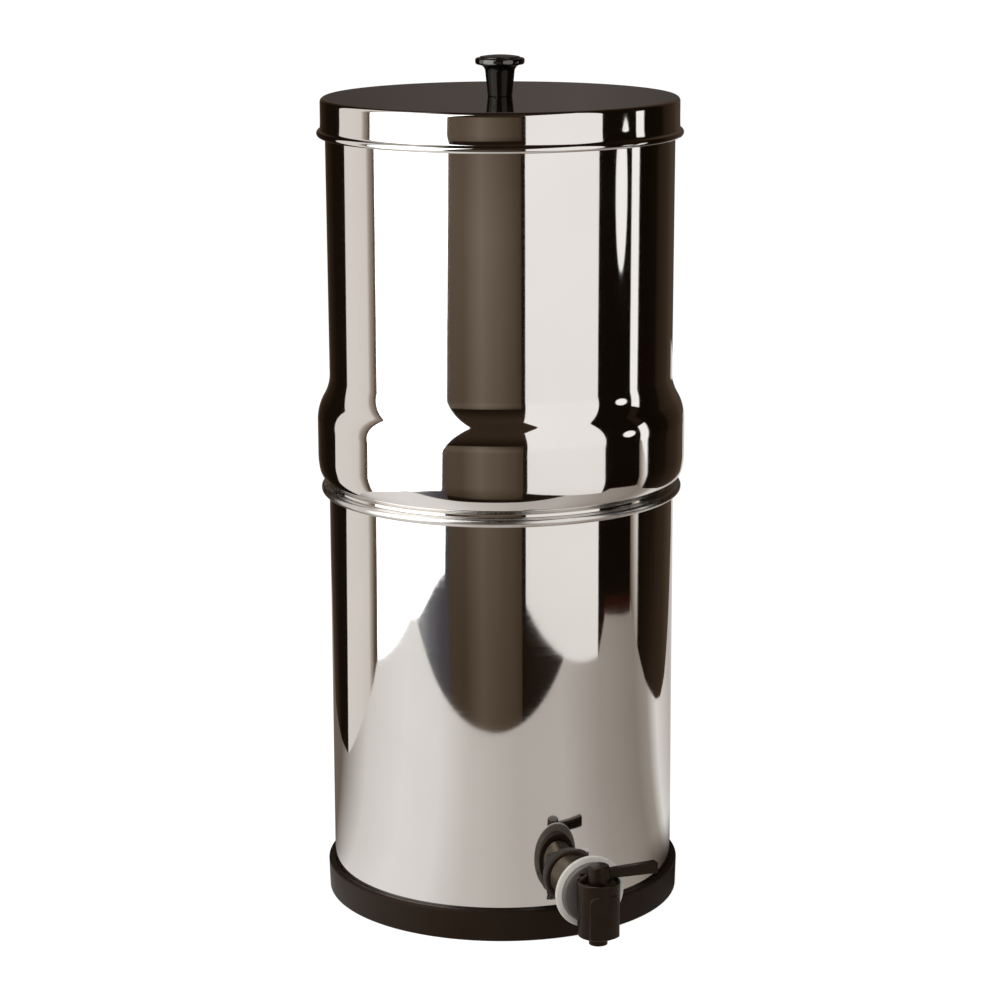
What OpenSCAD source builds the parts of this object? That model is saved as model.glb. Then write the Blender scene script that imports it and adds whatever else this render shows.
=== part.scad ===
// Gravity water filter: two stacked steel chambers, a lid with a knob,
// two ceramic candles, two blanking plugs and a quarter-turn tap.
// Millimetres, +Z up. The origin is on the chamber axis, in the plane the foot ring rests on.
// The tap points along -Y, and its lever points along +X when it is closed.

/* [Chambers] */
// Outside diameter of the lower chamber
chamber_d = 209.6; // [200:0.2:230]
// Thickness of the stainless sheet
sheet = 0.8; // [0.6:0.1:1]
// Height of the lower chamber, from its foot to the seat of the upper chamber
lower_h = 253.7; // [220:0.1:290]
// Height of the upper chamber, from its seat to its top rim
upper_h = 232.5; // [225:0.1:290]
// Radius of the lower chamber's bottom corner
corner_r = 5; // [3:0.5:8]
// Radius of the flat panel pressed up in the lower chamber's bottom
panel_r = 84; // [70:1:86]
// How far that panel is pressed up
panel_rise = 4; // [2:0.5:6]
// Diameter of the rolled edge on the lower chamber
roll_d = 5.2; // [4:0.2:6.4]

/* [Upper chamber] */
// How far the upper wall stands inside the lower wall, just under the lid
top_inset = 0.4; // [0:0.1:1]
// How far the upper wall stands inside the lower wall, just above the bulge
low_inset = 1.1; // [0.4:0.1:2]
// How far the bulge stands outside the lower wall
bulge_out = 6.5; // [5:0.1:9]
// Radius of the bulge's lower corner
bulge_corner_r = 13.5; // [10:0.5:14]
// Height of the lower corner's centre above the seat
bulge_corner_h = 12.9; // [12.5:0.1:18]
// Radius of the gentle bend between the bulge's straight side and its lower corner
bulge_side_r = 50; // [30:1:80]
// Angle of that gentle bend
bulge_side_turn = 9.3; // [2:0.1:14]
// Height of the bulge's straight side above the seat
bulge_side_h = 39.4; // [30:0.1:60]
// Radius of both bends between the bulge and the wall
ogee_r = 28; // [20:0.5:34]
// How deep the upper chamber drops into the lower one
nest_depth = 10; // [6:0.5:16]
// Radius of the upper chamber's bottom corner
nest_corner_r = 3; // [2:0.5:5]
// Clearance between the nested skirt and the lower wall
nest_gap = 0.4; // [0.3:0.1:1]
// Radius of the rolled top rim under the lid
top_roll_r = 1.8; // [1.2:0.1:2.2]

/* [Lid] */
// Clearance between the lid's skirt and the top rim
lid_gap = 0.3; // [0.3:0.1:1]
// Height of the lid, from its top to the bottom of its rolled edge
lid_h = 23; // [18:0.5:30]
// Diameter of the rolled edge on the lid
lid_roll_d = 4.2; // [3.6:0.2:5.2]
// Height of the knob
knob_h = 24.4; // [22:0.2:32]
// Radius of the knob's stem where it meets the lid
knob_foot_r = 7.3; // [6.5:0.1:8]
// Radius of the knob's stem where its taper ends
knob_neck_r = 8.7; // [8.2:0.1:9.5]
// Radius of the knob's disc
knob_disc_r = 14.7; // [13.5:0.1:18]
// Thickness of the knob's disc
knob_disc_t = 3.1; // [2.6:0.1:4.5]
// Radius of the raised crown on the disc
knob_crown_r = 12; // [8:0.5:12]
// Height of the raised crown
knob_crown_h = 2.6; // [1:0.1:4]
// Radius of the bend under the disc
knob_bend_r = 4.5; // [3:0.1:4.8]
// Thread radius of the knob screw
knob_screw_r = 2.5; // [2:0.1:3]
// Length of the knob screw above the lid
knob_screw_l = 12; // [8:0.5:16]
// Radius of the knob screw's head
knob_head_r = 4.6; // [4:0.1:6]
// Height of the knob screw's head
knob_head_h = 3; // [2:0.1:4]
// Radius of the washer under the lid
knob_washer_r = 8; // [7:0.5:12]
// Thickness of the washer under the lid
knob_washer_t = 1.2; // [0.8:0.1:2]

/* [Foot ring] */
// How far the foot ring stands outside the lower wall
foot_out = 4; // [3:0.1:6]
// Height of the foot ring
foot_h = 19.1; // [18:0.1:22.6]
// Thickness of the ring's floor under the chamber
foot_floor = 4; // [3:0.1:6]
// Inner radius of the ring's floor
foot_bore_r = 89.5; // [88:0.5:94]
// How much the ring's outside narrows towards the floor
foot_draft = 0.5; // [0:0.1:1]
// Radius of the ring's top outer edge
foot_top_r = 1.6; // [1:0.1:2]
// Radius of the ring's bottom outer edge
foot_low_r = 1; // [0.6:0.1:3]
// Clearance between the foot ring and the lower wall
foot_gap = 0.05; // [0.02:0.01:0.1]

/* [Candles] */
// Space between a candle's mount and the chamber's wall
candle_to_wall = 24.1; // [20:0.1:26]
// Outside diameter of a ceramic shell
candle_d = 50; // [44:0.5:54]
// Wall thickness of a ceramic shell
candle_wall = 8; // [5:0.5:10]
// Height of a ceramic shell
candle_h = 178; // [150:1:185]
// Height of the carbon core
core_h = 140; // [110:1:150]
// Clearance between the carbon core and the shell
core_gap = 0.2; // [0.1:0.1:0.5]
// Height of the plastic mount
mount_h = 12; // [10:0.5:16]
// Depth of the mount's cup around the shell
mount_cup = 9; // [6:0.5:12]
// Wall thickness of the mount's cup
mount_wall = 1.6; // [1.2:0.1:2.4]
// Clearance between the shell and the mount's cup
mount_gap = 0.1; // [0.05:0.01:0.2]
// Thread radius of the mount's stem
stem_r = 6; // [5:0.1:7]
// Length of the stem below the chamber floor
stem_l = 32; // [26:0.5:36]
// Radius of the water passage in the stem
stem_bore_r = 2.5; // [1.5:0.1:3]
// Radius of the candle seal
seal_r = 16; // [14:0.5:20]
// Thickness of the candle seal
seal_t = 2.5; // [1.5:0.1:4]
// Clearance around a stem in its hole or its nut
stem_gap = 0.15; // [0.05:0.05:0.3]
// Radius of a wing nut's hub
wing_hub_r = 10; // [9:0.5:12]
// Height of a wing nut's hub
wing_hub_h = 9; // [7:0.5:12]
// Distance across both wings
wing_span = 40; // [32:1:46]
// Thickness of a wing
wing_t = 3.2; // [2.4:0.1:4]
// How far the wings reach below the hub
wing_drop = 6; // [4:0.5:9]
// Gap between the wings and the chamber floor
wing_gap = 1; // [0.5:0.5:3]

/* [Blanking plugs] */
// Radius of a blanking plug's head
plug_head_r = 14; // [12:0.5:18]
// Thickness of a blanking plug's head
plug_head_t = 4; // [3:0.5:6]
// Length of a blanking plug's stem below the chamber floor
plug_stem_l = 16; // [12:0.5:20]
// Thickness of a blanking plug's washer
plug_washer_t = 2; // [1.5:0.1:3]
// Width across the flats of a blanking nut
plug_nut_af = 22; // [19:0.5:26]
// Thickness of a blanking nut
plug_nut_t = 7; // [5:0.5:9]

/* [Tap] */
// Height of the tap's axis above the floor
tap_z = 38.4; // [37.5:0.1:46]
// Distance from the lower wall to the spout's axis
tap_reach = 44.5; // [42:0.5:60]
// Radius of the spout body
spout_r = 12.6; // [12.2:0.1:14]
// Height of the spout body above the tap's axis
spout_up = 11; // [10.4:0.1:13]
// Height of the spout body below the tap's axis
spout_down = 23.5; // [20:0.1:24]
// Radius of the spout body's bottom edge
spout_edge_r = 2; // [1:0.1:2.4]
// Height of the raised pad on the spout's front
pad_h = 27.5; // [20:0.5:28]
// Width of the raised pad
pad_w = 16; // [12:0.5:18]
// How far the raised pad stands out
pad_t = 0.9; // [0.6:0.1:1.5]
// Radius of the flange
flange_r = 17.9; // [17:0.1:19.5]
// Thickness of the flange
flange_t = 3; // [2:0.1:4]
// Gap between the lever's hub and the flange's front face
flange_gap = 1.9; // [0.4:0.1:2.2]
// Radius of the threaded barrel
barrel_r = 13.2; // [12.8:0.1:13.6]
// Radius of the water passage in the barrel
barrel_bore_r = 8.4; // [6:0.1:9]
// Length of the barrel inside the chamber
barrel_in = 25; // [21:0.5:30]
// Clearance around the barrel in its hole, washers and nuts
barrel_gap = 0.1; // [0.05:0.05:0.2]
// Radius of the pale washer behind the flange
pale_washer_r = 22; // [19.5:0.5:24]
// Thickness of the pale washer
pale_washer_t = 3; // [2:0.1:4]
// Radius of the jam nut behind the pale washer
jam_nut_r = 16.7; // [15:0.1:18]
// Thickness of the jam nut
jam_nut_t = 5; // [4:0.5:7]
// Radius of the washers on both sides of the chamber wall
wall_washer_r = 15.6; // [14.8:0.1:15.9]
// Thickness of the washer inside the chamber wall
wall_washer_t = 2.6; // [2.2:0.1:3.2]
// Thickness of the washer outside the chamber wall
outer_washer_t = 1.2; // [1:0.1:2.6]
// Radius of the ring nut outside the wall
ring_nut_r = 15; // [14.8:0.1:15.9]
// Thickness of the ring nut outside the wall
ring_nut_t = 1.4; // [1.2:0.1:3]
// Width across the flats of the back nut inside the chamber
back_nut_af = 32; // [30:0.5:33]
// Thickness of the back nut
back_nut_t = 8; // [6:0.5:10]

/* [Tap valve] */
// Radius of the rotating valve plug
valve_r = 8.5; // [8:0.1:8.6]
// Running clearance around the plug and its nozzle
valve_gap = 0.05; // [0.02:0.01:0.1]
// Radius of the outlet nozzle
nozzle_r = 5.5; // [5:0.1:6]
// How far the nozzle stands below the spout body
nozzle_drop = 4.3; // [4:0.1:8]
// Radius of the water passage through the plug
port_r = 3.6; // [2.5:0.1:3.8]
// Thickness of the spout body's floor under the plug
spout_floor = 3; // [2:0.1:4]
// Radius of the gland ring that holds the plug down
gland_r = 10.2; // [9.8:0.1:10.6]
// Thickness of the gland ring
gland_t = 2.6; // [2:0.1:3]
// Depth of the shallow cup in the top of the spout body
cup_depth = 1.6; // [1:0.1:2]
// Width of the rim around that cup
cup_rim = 1.4; // [1:0.1:1.8]
// Radius of the valve stem
valve_stem_r = 4; // [3.5:0.1:4.5]
// Width across the two flats of the valve stem
valve_stem_af = 6; // [5:0.1:6.6]
// Section radius of a valve seal
valve_seal_r = 0.85; // [0.7:0.05:1]

/* [Tap lever] */
// Radius of the lever's hub
hub_r = 6.5; // [6.4:0.1:7.2]
// Height of the hub's top above the spout body
hub_up = 9.5; // [8.5:0.1:12]
// Radius of the hub's top edge
hub_edge_r = 1.2; // [0.6:0.1:2]
// Gap between the hub and the gland ring
hub_gap = 0.4; // [0.3:0.1:0.6]
// Length of the lever, from the hub's axis to its tip
lever_l = 37.5; // [30:0.5:42]
// Thickness of the lever's blade
lever_t = 4.4; // [3.5:0.1:6]
// Height of the blade at the hub
lever_root_h = 5.4; // [4.5:0.1:6]
// Height of the blade at its tip
lever_tip_h = 7.9; // [6:0.1:9]
// Gap between the blade's root and the spout body
blade_up = 0.9; // [0.9:0.1:2]
// Radius of the blade's corners at its tip
lever_tip_r = 1.4; // [0.8:0.1:2]
// Width of the rim around the shallow panel in each side of the blade
panel_rim = 1.2; // [1:0.1:1.6]
// Depth of the shallow panel in each side of the blade
panel_depth = 0.6; // [0.3:0.1:1]
// Turn of the lever from closed to open
lever_turn = 90; // [80:1:95]
// Half the angle that the hub's stop tab takes up
tab_half = 12; // [10:1:15]
// Half the angle that a stop lug takes up
lug_half = 9; // [7:1:12]
// Free angle between the stop tab and a lug at the end of the travel
stop_gap = 2; // [1:0.5:3]
// Height of the stop tab and the front lug above the spout body, under the blade's path
lug_up = 0.3; // [0.2:0.05:0.4]
// Height of the side lug above the spout body, away from the blade's path
lug_high = 5; // [1:0.5:8]

/* [Hidden] */
$fn = 96;
arc_step = 6; // degrees between the points of a profile's arcs
eps = 0.01; // hairline overlap, where a longer one would show
cut = 1; // how far a cut runs past the face it opens
lap = 1; // how far the shapes of one piece run into each other

// Chamber stack, from the floor up
body_r = chamber_d / 2;
seat_z = foot_floor + lower_h;
nest_floor_z = seat_z - nest_depth;
top_z = seat_z + upper_h;

// Rolled edges: the roll's centre, and how far its crown stands above the flat seat
roll_r = roll_d / 2;
roll_lap = 0.5;
roll_c_r = body_r + roll_r - roll_lap;
roll_crown = 0.2;
roll_c_z = seat_z + roll_crown - roll_r;
seat_edge_r = roll_c_r - sqrt(pow(roll_r, 2) - pow(roll_r - roll_crown, 2));

// Upper chamber
neck_clear = 0.3;
neck_r = seat_edge_r - neck_clear;
nest_r = body_r - sheet - nest_gap;
bulge_r = body_r + bulge_out;
wall_low_r = body_r - low_inset;
wall_top_r = body_r - top_inset;
bulge_side_z = seat_z + bulge_side_h;
bulge_corner_c_r = bulge_r - bulge_side_r + (bulge_side_r - bulge_corner_r) * cos(bulge_side_turn);
bulge_corner_z = seat_z + bulge_corner_h;
bulge_low_z = bulge_corner_z + (bulge_side_r - bulge_corner_r) * sin(bulge_side_turn);
ogee_turn = acos((2 * ogee_r - bulge_r + wall_low_r) / (2 * ogee_r));
ogee_z = bulge_side_z + 2 * ogee_r * sin(ogee_turn);
top_roll_lap = 0.2;
top_roll_c_r = wall_top_r - top_roll_lap;
top_roll_out_r = top_roll_c_r + top_roll_r;
top_roll_drop = 0.15;

// Candles: both they and the blanking plugs stand on one ring around the chamber's axis
candle_r = candle_d / 2;
mount_r = candle_r + mount_gap + mount_wall;
candle_ring_r = nest_r - sheet - candle_to_wall - mount_r;

// Lid
lid_in_r = top_roll_out_r + lid_gap;
lid_out_r = lid_in_r + sheet;
lid_top_z = top_z + sheet;
lid_roll_r = lid_roll_d / 2;
lid_roll_out = 0.2;
lid_roll_c_r = lid_out_r + lid_roll_out;
lid_roll_c_z = lid_top_z - lid_h + lid_roll_r;

// Tap, with places along -Y measured from the chamber axis
spout_y = body_r + tap_reach;
flange_back = hub_r + flange_gap + flange_t;
flange_y = spout_y - flange_back;
barrel_y = body_r - sheet - barrel_in;
spout_top_z = tap_z + spout_up;
spout_low_z = tap_z - spout_down;
cup_z = spout_top_z - cup_depth;
cup_r = spout_r - cup_rim;
gland_z = cup_z - gland_t;
valve_low_z = spout_low_z + spout_floor;
bore_r = valve_r + valve_gap;
nozzle_z = spout_low_z - nozzle_drop;
hub_low_z = cup_z + hub_gap;
hub_top_z = spout_top_z + hub_up;
socket_top_z = hub_top_z - 2;
lug_gap = 0.4;
tab_r = cup_r - lug_gap;
tab_angle = 282;
nozzle_step = 0.5;
journal_r = nozzle_r + nozzle_step;
end_play = 0.1;
valve_foot_z = valve_low_z + end_play;
valve_top_z = gland_z - end_play;
seal_inset = 3;
seal_c_r = valve_r - valve_seal_r;
seal_zs = [valve_low_z + seal_inset, valve_top_z - seal_inset];

function arc(centre, r, from, to, n = 0) =
    let (steps = n > 0 ? n : max(2, ceil(abs(to - from) / arc_step)))
    [for (i = [0 : steps]) let (a = from + (to - from) * i / steps) centre + r * [cos(a), sin(a)]];

// Half profiles as points [radius, height]. "in" sets them back by a sheet's thickness.

function lower_floor(in) = [
    [0, foot_floor + panel_rise + in],
    [panel_r + in * tan(22.5), foot_floor + panel_rise + in],
    [panel_r + panel_rise + in * tan(22.5), foot_floor + in]];

function lower_outside() = concat(
    lower_floor(0),
    arc([body_r - corner_r, foot_floor + corner_r], corner_r, -90, 0),
    arc([roll_c_r, roll_c_z], roll_r, -acos((body_r - roll_c_r) / roll_r),
        180 - asin((seat_z - roll_c_z) / roll_r)),
    [[0, seat_z]]);

function lower_inside() = concat(
    lower_floor(sheet),
    arc([body_r - corner_r, foot_floor + corner_r], corner_r - sheet, -90, 0),
    [[body_r - sheet, seat_z + eps], [0, seat_z + eps]]);

function upper_outline(in) = concat(
    [[0, nest_floor_z + in]],
    arc([nest_r - nest_corner_r, nest_floor_z + nest_corner_r], nest_corner_r - in, -90, 0),
    [[nest_r - in, seat_z + in], [neck_r - in, seat_z + in]],
    arc([bulge_corner_c_r, bulge_corner_z], bulge_corner_r - in,
        -acos((neck_r - in - bulge_corner_c_r) / (bulge_corner_r - in)), -bulge_side_turn),
    arc([bulge_r - bulge_side_r, bulge_low_z], bulge_side_r - in, -bulge_side_turn, 0),
    arc([bulge_r - ogee_r, bulge_side_z], ogee_r - in, 0, ogee_turn),
    arc([wall_low_r + ogee_r, ogee_z], ogee_r + in, 180 + ogee_turn, 180));

function upper_outside() = concat(
    upper_outline(0),
    arc([top_roll_c_r, top_z - top_roll_drop - top_roll_r], top_roll_r,
        -acos((wall_top_r - top_roll_c_r) / top_roll_r), 90),
    [[top_roll_c_r - 2 * top_roll_drop, top_z], [0, top_z]]);

function upper_inside() = concat(
    upper_outline(sheet),
    [[wall_top_r - sheet, top_z + eps], [0, top_z + eps]]);

function lid_outline(in) =
    arc([lid_in_r - top_roll_r, top_z - top_roll_r], top_roll_r + sheet - in, 90, 0);

function lid_outside() = concat(
    [[0, lid_top_z]],
    lid_outline(0),
    arc([lid_roll_c_r, lid_roll_c_z], lid_roll_r, acos((lid_out_r - lid_roll_c_r) / lid_roll_r),
        -acos((lid_in_r - lid_roll_c_r) / lid_roll_r)),
    [[lid_in_r, lid_roll_c_z], [0, lid_roll_c_z]]);

function lid_inside() = concat(
    [[0, top_z]],
    lid_outline(sheet),
    [[lid_in_r, lid_top_z - 2 * lid_h], [0, lid_top_z - 2 * lid_h]]);

function foot_outline() = concat(
    [[foot_bore_r, 0]],
    arc([body_r + foot_out - foot_draft - foot_low_r, foot_low_r], foot_low_r, -90, 0),
    arc([body_r + foot_out - foot_top_r, foot_h - foot_top_r], foot_top_r, 0, 90),
    [[body_r + foot_gap, foot_h]],
    arc([body_r - corner_r, foot_floor + corner_r + foot_gap], corner_r + foot_gap, 0, -90),
    [[foot_bore_r, foot_floor]]);

// The knob's stem widens slowly to its neck, then bends out under the disc.
knob_disc_z = knob_h - knob_crown_h - knob_disc_t;
knob_low_edge_r = 1.5;
knob_top_edge_r = 1.2;
knob_crown_ball_r = (pow(knob_crown_r, 2) + pow(knob_crown_h, 2)) / (2 * knob_crown_h);

function knob_outline() = concat(
    [[0, 0], [knob_foot_r, 0]],
    arc([knob_neck_r + knob_bend_r, knob_disc_z - knob_bend_r], knob_bend_r, 180, 90),
    arc([knob_disc_r - knob_low_edge_r, knob_disc_z + knob_low_edge_r], knob_low_edge_r, -90, 0),
    arc([knob_disc_r - knob_top_edge_r, knob_disc_z + knob_disc_t - knob_top_edge_r],
        knob_top_edge_r, 0, 90),
    arc([0, knob_h - knob_crown_ball_r], knob_crown_ball_r,
        asin((knob_crown_ball_r - knob_crown_h) / knob_crown_ball_r), 90));

// ---- helpers ----

// A plain ring on the Z axis
module ring(r, bore, h) {
    difference() {
        cylinder(r = r, h = h);
        translate([0, 0, -cut]) cylinder(r = bore, h = h + 2 * cut);
    }
}

// Puts a shape that was drawn along +Z on the tap's axis, from this distance out along -Y
module on_tap(from) {
    translate([0, -from, tap_z]) rotate([90, 0, 0]) children();
}

// Puts a shape on the spout's own upright axis
module on_spout(z) {
    translate([0, -spout_y, z]) children();
}

module at_candles(angle) {
    translate([candle_ring_r * cos(angle), candle_ring_r * sin(angle), 0]) children();
}

// A slice of a ring, centred on an angle
module ring_slice(r_in, r_out, h, angle, half) {
    rotate(angle - half) rotate_extrude(angle = 2 * half) translate([r_in, 0]) square([r_out - r_in, h]);
}

// The two-flatted section of the valve stem
module stem_section(extra) {
    intersection() {
        circle(r = valve_stem_r + extra);
        square([2 * (valve_stem_r + extra), valve_stem_af + 2 * extra], center = true);
    }
}

// ---- stand and chambers ----

module base_ring() {
    color("#211d1b") rotate_extrude() polygon(foot_outline());
}

module lower_chamber() {
    color("#c9c6c2") difference() {
        rotate_extrude() polygon(lower_outside());
        rotate_extrude() polygon(lower_inside());
        on_tap(body_r / 2) cylinder(r = barrel_r + barrel_gap, h = body_r);
    }
}

module upper_chamber() {
    color("#d2cfcb") difference() {
        rotate_extrude() polygon(upper_outside());
        rotate_extrude() polygon(upper_inside());
        for (angle = [0 : 90 : 270])
            at_candles(angle) translate([0, 0, nest_floor_z - cut])
                cylinder(r = stem_r + stem_gap, h = sheet + 2 * cut);
    }
}

// ---- lid ----

module lid_shell() {
    color("#cdcac6") difference() {
        rotate_extrude() polygon(lid_outside());
        rotate_extrude() polygon(lid_inside());
        translate([0, 0, top_z - cut]) cylinder(r = knob_screw_r + stem_gap, h = sheet + 2 * cut);
    }
}

module lid_knob() {
    color("#171514") translate([0, 0, lid_top_z]) difference() {
        rotate_extrude() polygon(knob_outline());
        translate([0, 0, -cut]) cylinder(r = knob_screw_r, h = knob_screw_l + 2 * cut);
    }
}

module lid_knob_washer() {
    color("#b9b9b9") translate([0, 0, top_z - knob_washer_t])
        ring(knob_washer_r, knob_screw_r + stem_gap, knob_washer_t);
}

module lid_knob_screw() {
    head_top = top_z - knob_washer_t;
    slot_w = 1.2;
    slot_depth = knob_head_h / 2;
    color("#a9a9a9") difference() {
        union() {
            translate([0, 0, head_top - knob_head_h])
                cylinder(r = knob_screw_r, h = lid_top_z + knob_screw_l - head_top + knob_head_h);
            translate([0, 0, head_top - knob_head_h]) cylinder(r = knob_head_r, h = knob_head_h);
        }
        translate([-knob_head_r - cut, -slot_w / 2, head_top - knob_head_h - cut])
            cube([2 * (knob_head_r + cut), slot_w, slot_depth + cut]);
    }
}

// ---- candles ----

floor_top_z = nest_floor_z + sheet;
mount_z = floor_top_z + seal_t;
cup_floor_z = mount_z + mount_h - mount_cup;
stem_z = nest_floor_z - stem_l;

module candle_shell() {
    bore_top = candle_h - candle_r;
    color("#ece8df") translate([0, 0, cup_floor_z]) difference() {
        union() {
            cylinder(r = candle_r, h = bore_top);
            translate([0, 0, bore_top]) sphere(r = candle_r);
        }
        translate([0, 0, -candle_r]) cylinder(r = candle_r - candle_wall, h = bore_top + candle_r);
        translate([0, 0, bore_top]) sphere(r = candle_r - candle_wall);
    }
}

module candle_core() {
    color("#2b2a29") translate([0, 0, cup_floor_z])
        cylinder(r = candle_r - candle_wall - core_gap, h = core_h);
}

module candle_mount() {
    color("#e9e9e4") difference() {
        union() {
            translate([0, 0, mount_z]) cylinder(r = mount_r, h = mount_h);
            translate([0, 0, stem_z]) cylinder(r = stem_r, h = mount_z - stem_z + lap);
        }
        translate([0, 0, cup_floor_z]) cylinder(r = candle_r + mount_gap, h = mount_cup + cut);
        translate([0, 0, stem_z - cut]) cylinder(r = stem_bore_r, h = mount_z - stem_z + mount_h);
    }
}

module candle_seal() {
    color("#3a3a3a") translate([0, 0, floor_top_z]) ring(seal_r, stem_r + stem_gap, seal_t);
}

module candle_wing_nut() {
    hub_z = nest_floor_z - wing_hub_h;
    color("#f0efe9") difference() {
        union() {
            translate([0, 0, hub_z]) cylinder(r = wing_hub_r, h = wing_hub_h);
            for (side = [0, 180]) rotate(side) wing(hub_z - wing_drop, wing_hub_h + wing_drop - wing_gap);
        }
        translate([0, 0, hub_z - wing_drop - cut])
            cylinder(r = stem_r + stem_gap, h = wing_hub_h + wing_drop + 2 * cut);
    }
}

// One wing: it starts inside the hub, and its outer end is round
module wing(low_z, h) {
    tip_x = wing_span / 2 - h / 2;
    root_x = stem_r + stem_gap + lap;
    translate([0, wing_t / 2, low_z]) rotate([90, 0, 0]) linear_extrude(wing_t) {
        translate([root_x, 0]) square([tip_x - root_x, h]);
        translate([tip_x, h / 2]) circle(r = h / 2);
    }
}

// ---- blanking plugs ----

plug_z = floor_top_z + plug_washer_t;

module at_plugs() {
    for (angle = [90, 270]) at_candles(angle) children();
}

module blanking_plugs() {
    color("#e9e9e4") at_plugs() {
        translate([0, 0, plug_z]) cylinder(r = plug_head_r, h = plug_head_t);
        translate([0, 0, nest_floor_z - plug_stem_l])
            cylinder(r = stem_r, h = plug_z - nest_floor_z + plug_stem_l + lap);
    }
}

module blanking_washers() {
    color("#3a3a3a") at_plugs() translate([0, 0, floor_top_z])
        ring(plug_head_r, stem_r + stem_gap, plug_washer_t);
}

module blanking_nuts() {
    color("#f0efe9") at_plugs() translate([0, 0, nest_floor_z - plug_nut_t]) difference() {
        cylinder(r = plug_nut_af / 2 / cos(30), h = plug_nut_t, $fn = 6);
        translate([0, 0, -cut]) cylinder(r = stem_r + stem_gap, h = plug_nut_t + 2 * cut);
    }
}

// ---- tap ----

module tap_body() {
    color("#241f1c") difference() {
        union() {
            spout_shell();
            on_tap(flange_y) cylinder(r = flange_r, h = flange_t);
            on_tap(barrel_y) cylinder(r = barrel_r, h = flange_y - barrel_y + lap);
            stop_lugs();
        }
        on_spout(valve_low_z) cylinder(r = bore_r, h = spout_up + spout_down);
        on_spout(spout_low_z - cut) cylinder(r = journal_r + valve_gap, h = spout_floor + 2 * cut);
        on_spout(gland_z) cylinder(r = gland_r, h = gland_t);
        on_tap(barrel_y - cut) cylinder(r = barrel_bore_r, h = flange_y - barrel_y);
        on_tap(flange_y - 2 * cut) cylinder(r = port_r, h = flange_back);
    }
}

// The upright body: round, with a cup in its top, a pad on its front and a flat back at the flange
module spout_shell() {
    intersection() {
        union() {
            on_spout(0) rotate_extrude() polygon(concat(
                [[0, spout_low_z]],
                arc([spout_r - spout_edge_r, spout_low_z + spout_edge_r], spout_edge_r, -90, 0),
                [[spout_r, spout_top_z], [cup_r, spout_top_z], [cup_r, cup_z], [0, cup_z]]));
            spout_pad();
        }
        translate([-2 * spout_r, -spout_y - 2 * spout_r, spout_low_z - cut])
            cube([4 * spout_r, 2 * spout_r + flange_back, spout_up + spout_down + 2 * cut]);
    }
}

// The arch-topped pad wraps the spout's front
module spout_pad() {
    intersection() {
        on_spout(spout_low_z + spout_edge_r) cylinder(r = spout_r + pad_t, h = pad_h);
        translate([0, -spout_y, spout_low_z + pad_h - pad_w / 2]) rotate([90, 0, 0]) union() {
            cylinder(r = pad_w / 2, h = spout_r + pad_t + cut);
            translate([-pad_w / 2, -pad_h, 0]) cube([pad_w, pad_h, spout_r + pad_t + cut]);
        }
    }
}

// The hub's stop tab sweeps between these two lugs
module stop_lugs() {
    reach = tab_half + stop_gap + lug_half;
    stop_lug(tab_angle + reach, lug_up);
    stop_lug(tab_angle - lever_turn - reach, lug_high);
}

module stop_lug(angle, up) {
    on_spout(cup_z - eps)
        ring_slice(hub_r + lug_gap, cup_r + eps, cup_depth + up + eps, angle, lug_half);
}

module tap_gland_ring() {
    color("#1b1816") on_spout(gland_z) ring(gland_r, valve_stem_r + valve_gap, gland_t);
}

module tap_plug() {
    color("#2a2522") on_spout(0) difference() {
        union() {
            translate([0, 0, valve_foot_z]) cylinder(r = valve_r, h = valve_top_z - valve_foot_z);
            translate([0, 0, spout_low_z]) cylinder(r = journal_r, h = valve_foot_z - spout_low_z + lap);
            translate([0, 0, nozzle_z]) cylinder(r = nozzle_r, h = nozzle_drop + lap);
            translate([0, 0, valve_top_z - lap]) linear_extrude(socket_top_z - valve_top_z + lap)
                stem_section(0);
        }
        translate([0, 0, nozzle_z - cut]) cylinder(r = port_r, h = tap_z - nozzle_z + cut);
        translate([0, 0, tap_z]) rotate([0, -90, 0]) cylinder(r = port_r, h = valve_r + cut);
        for (z = seal_zs) translate([0, 0, z - valve_seal_r - valve_gap])
            ring(valve_r + cut, seal_c_r - valve_seal_r - valve_gap, 2 * (valve_seal_r + valve_gap));
    }
}

module tap_plug_seals() {
    color("#101010") on_spout(0) for (z = seal_zs)
        translate([0, 0, z]) rotate_extrude() translate([seal_c_r, 0]) circle(r = valve_seal_r, $fn = 48);
}

module tap_lever() {
    color("#241f1c") on_spout(0) difference() {
        union() {
            rotate_extrude() polygon(concat(
                [[0, hub_low_z], [hub_r, hub_low_z]],
                arc([hub_r - hub_edge_r, hub_top_z - hub_edge_r], hub_edge_r, 0, 90),
                [[0, hub_top_z]]));
            translate([0, 0, hub_low_z])
                ring_slice(hub_r - lap, tab_r, cup_depth - hub_gap + lug_up, tab_angle, tab_half);
            lever_blade();
        }
        translate([0, 0, hub_low_z - cut]) linear_extrude(socket_top_z + end_play - hub_low_z + cut)
            stem_section(valve_gap);
    }
}

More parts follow.
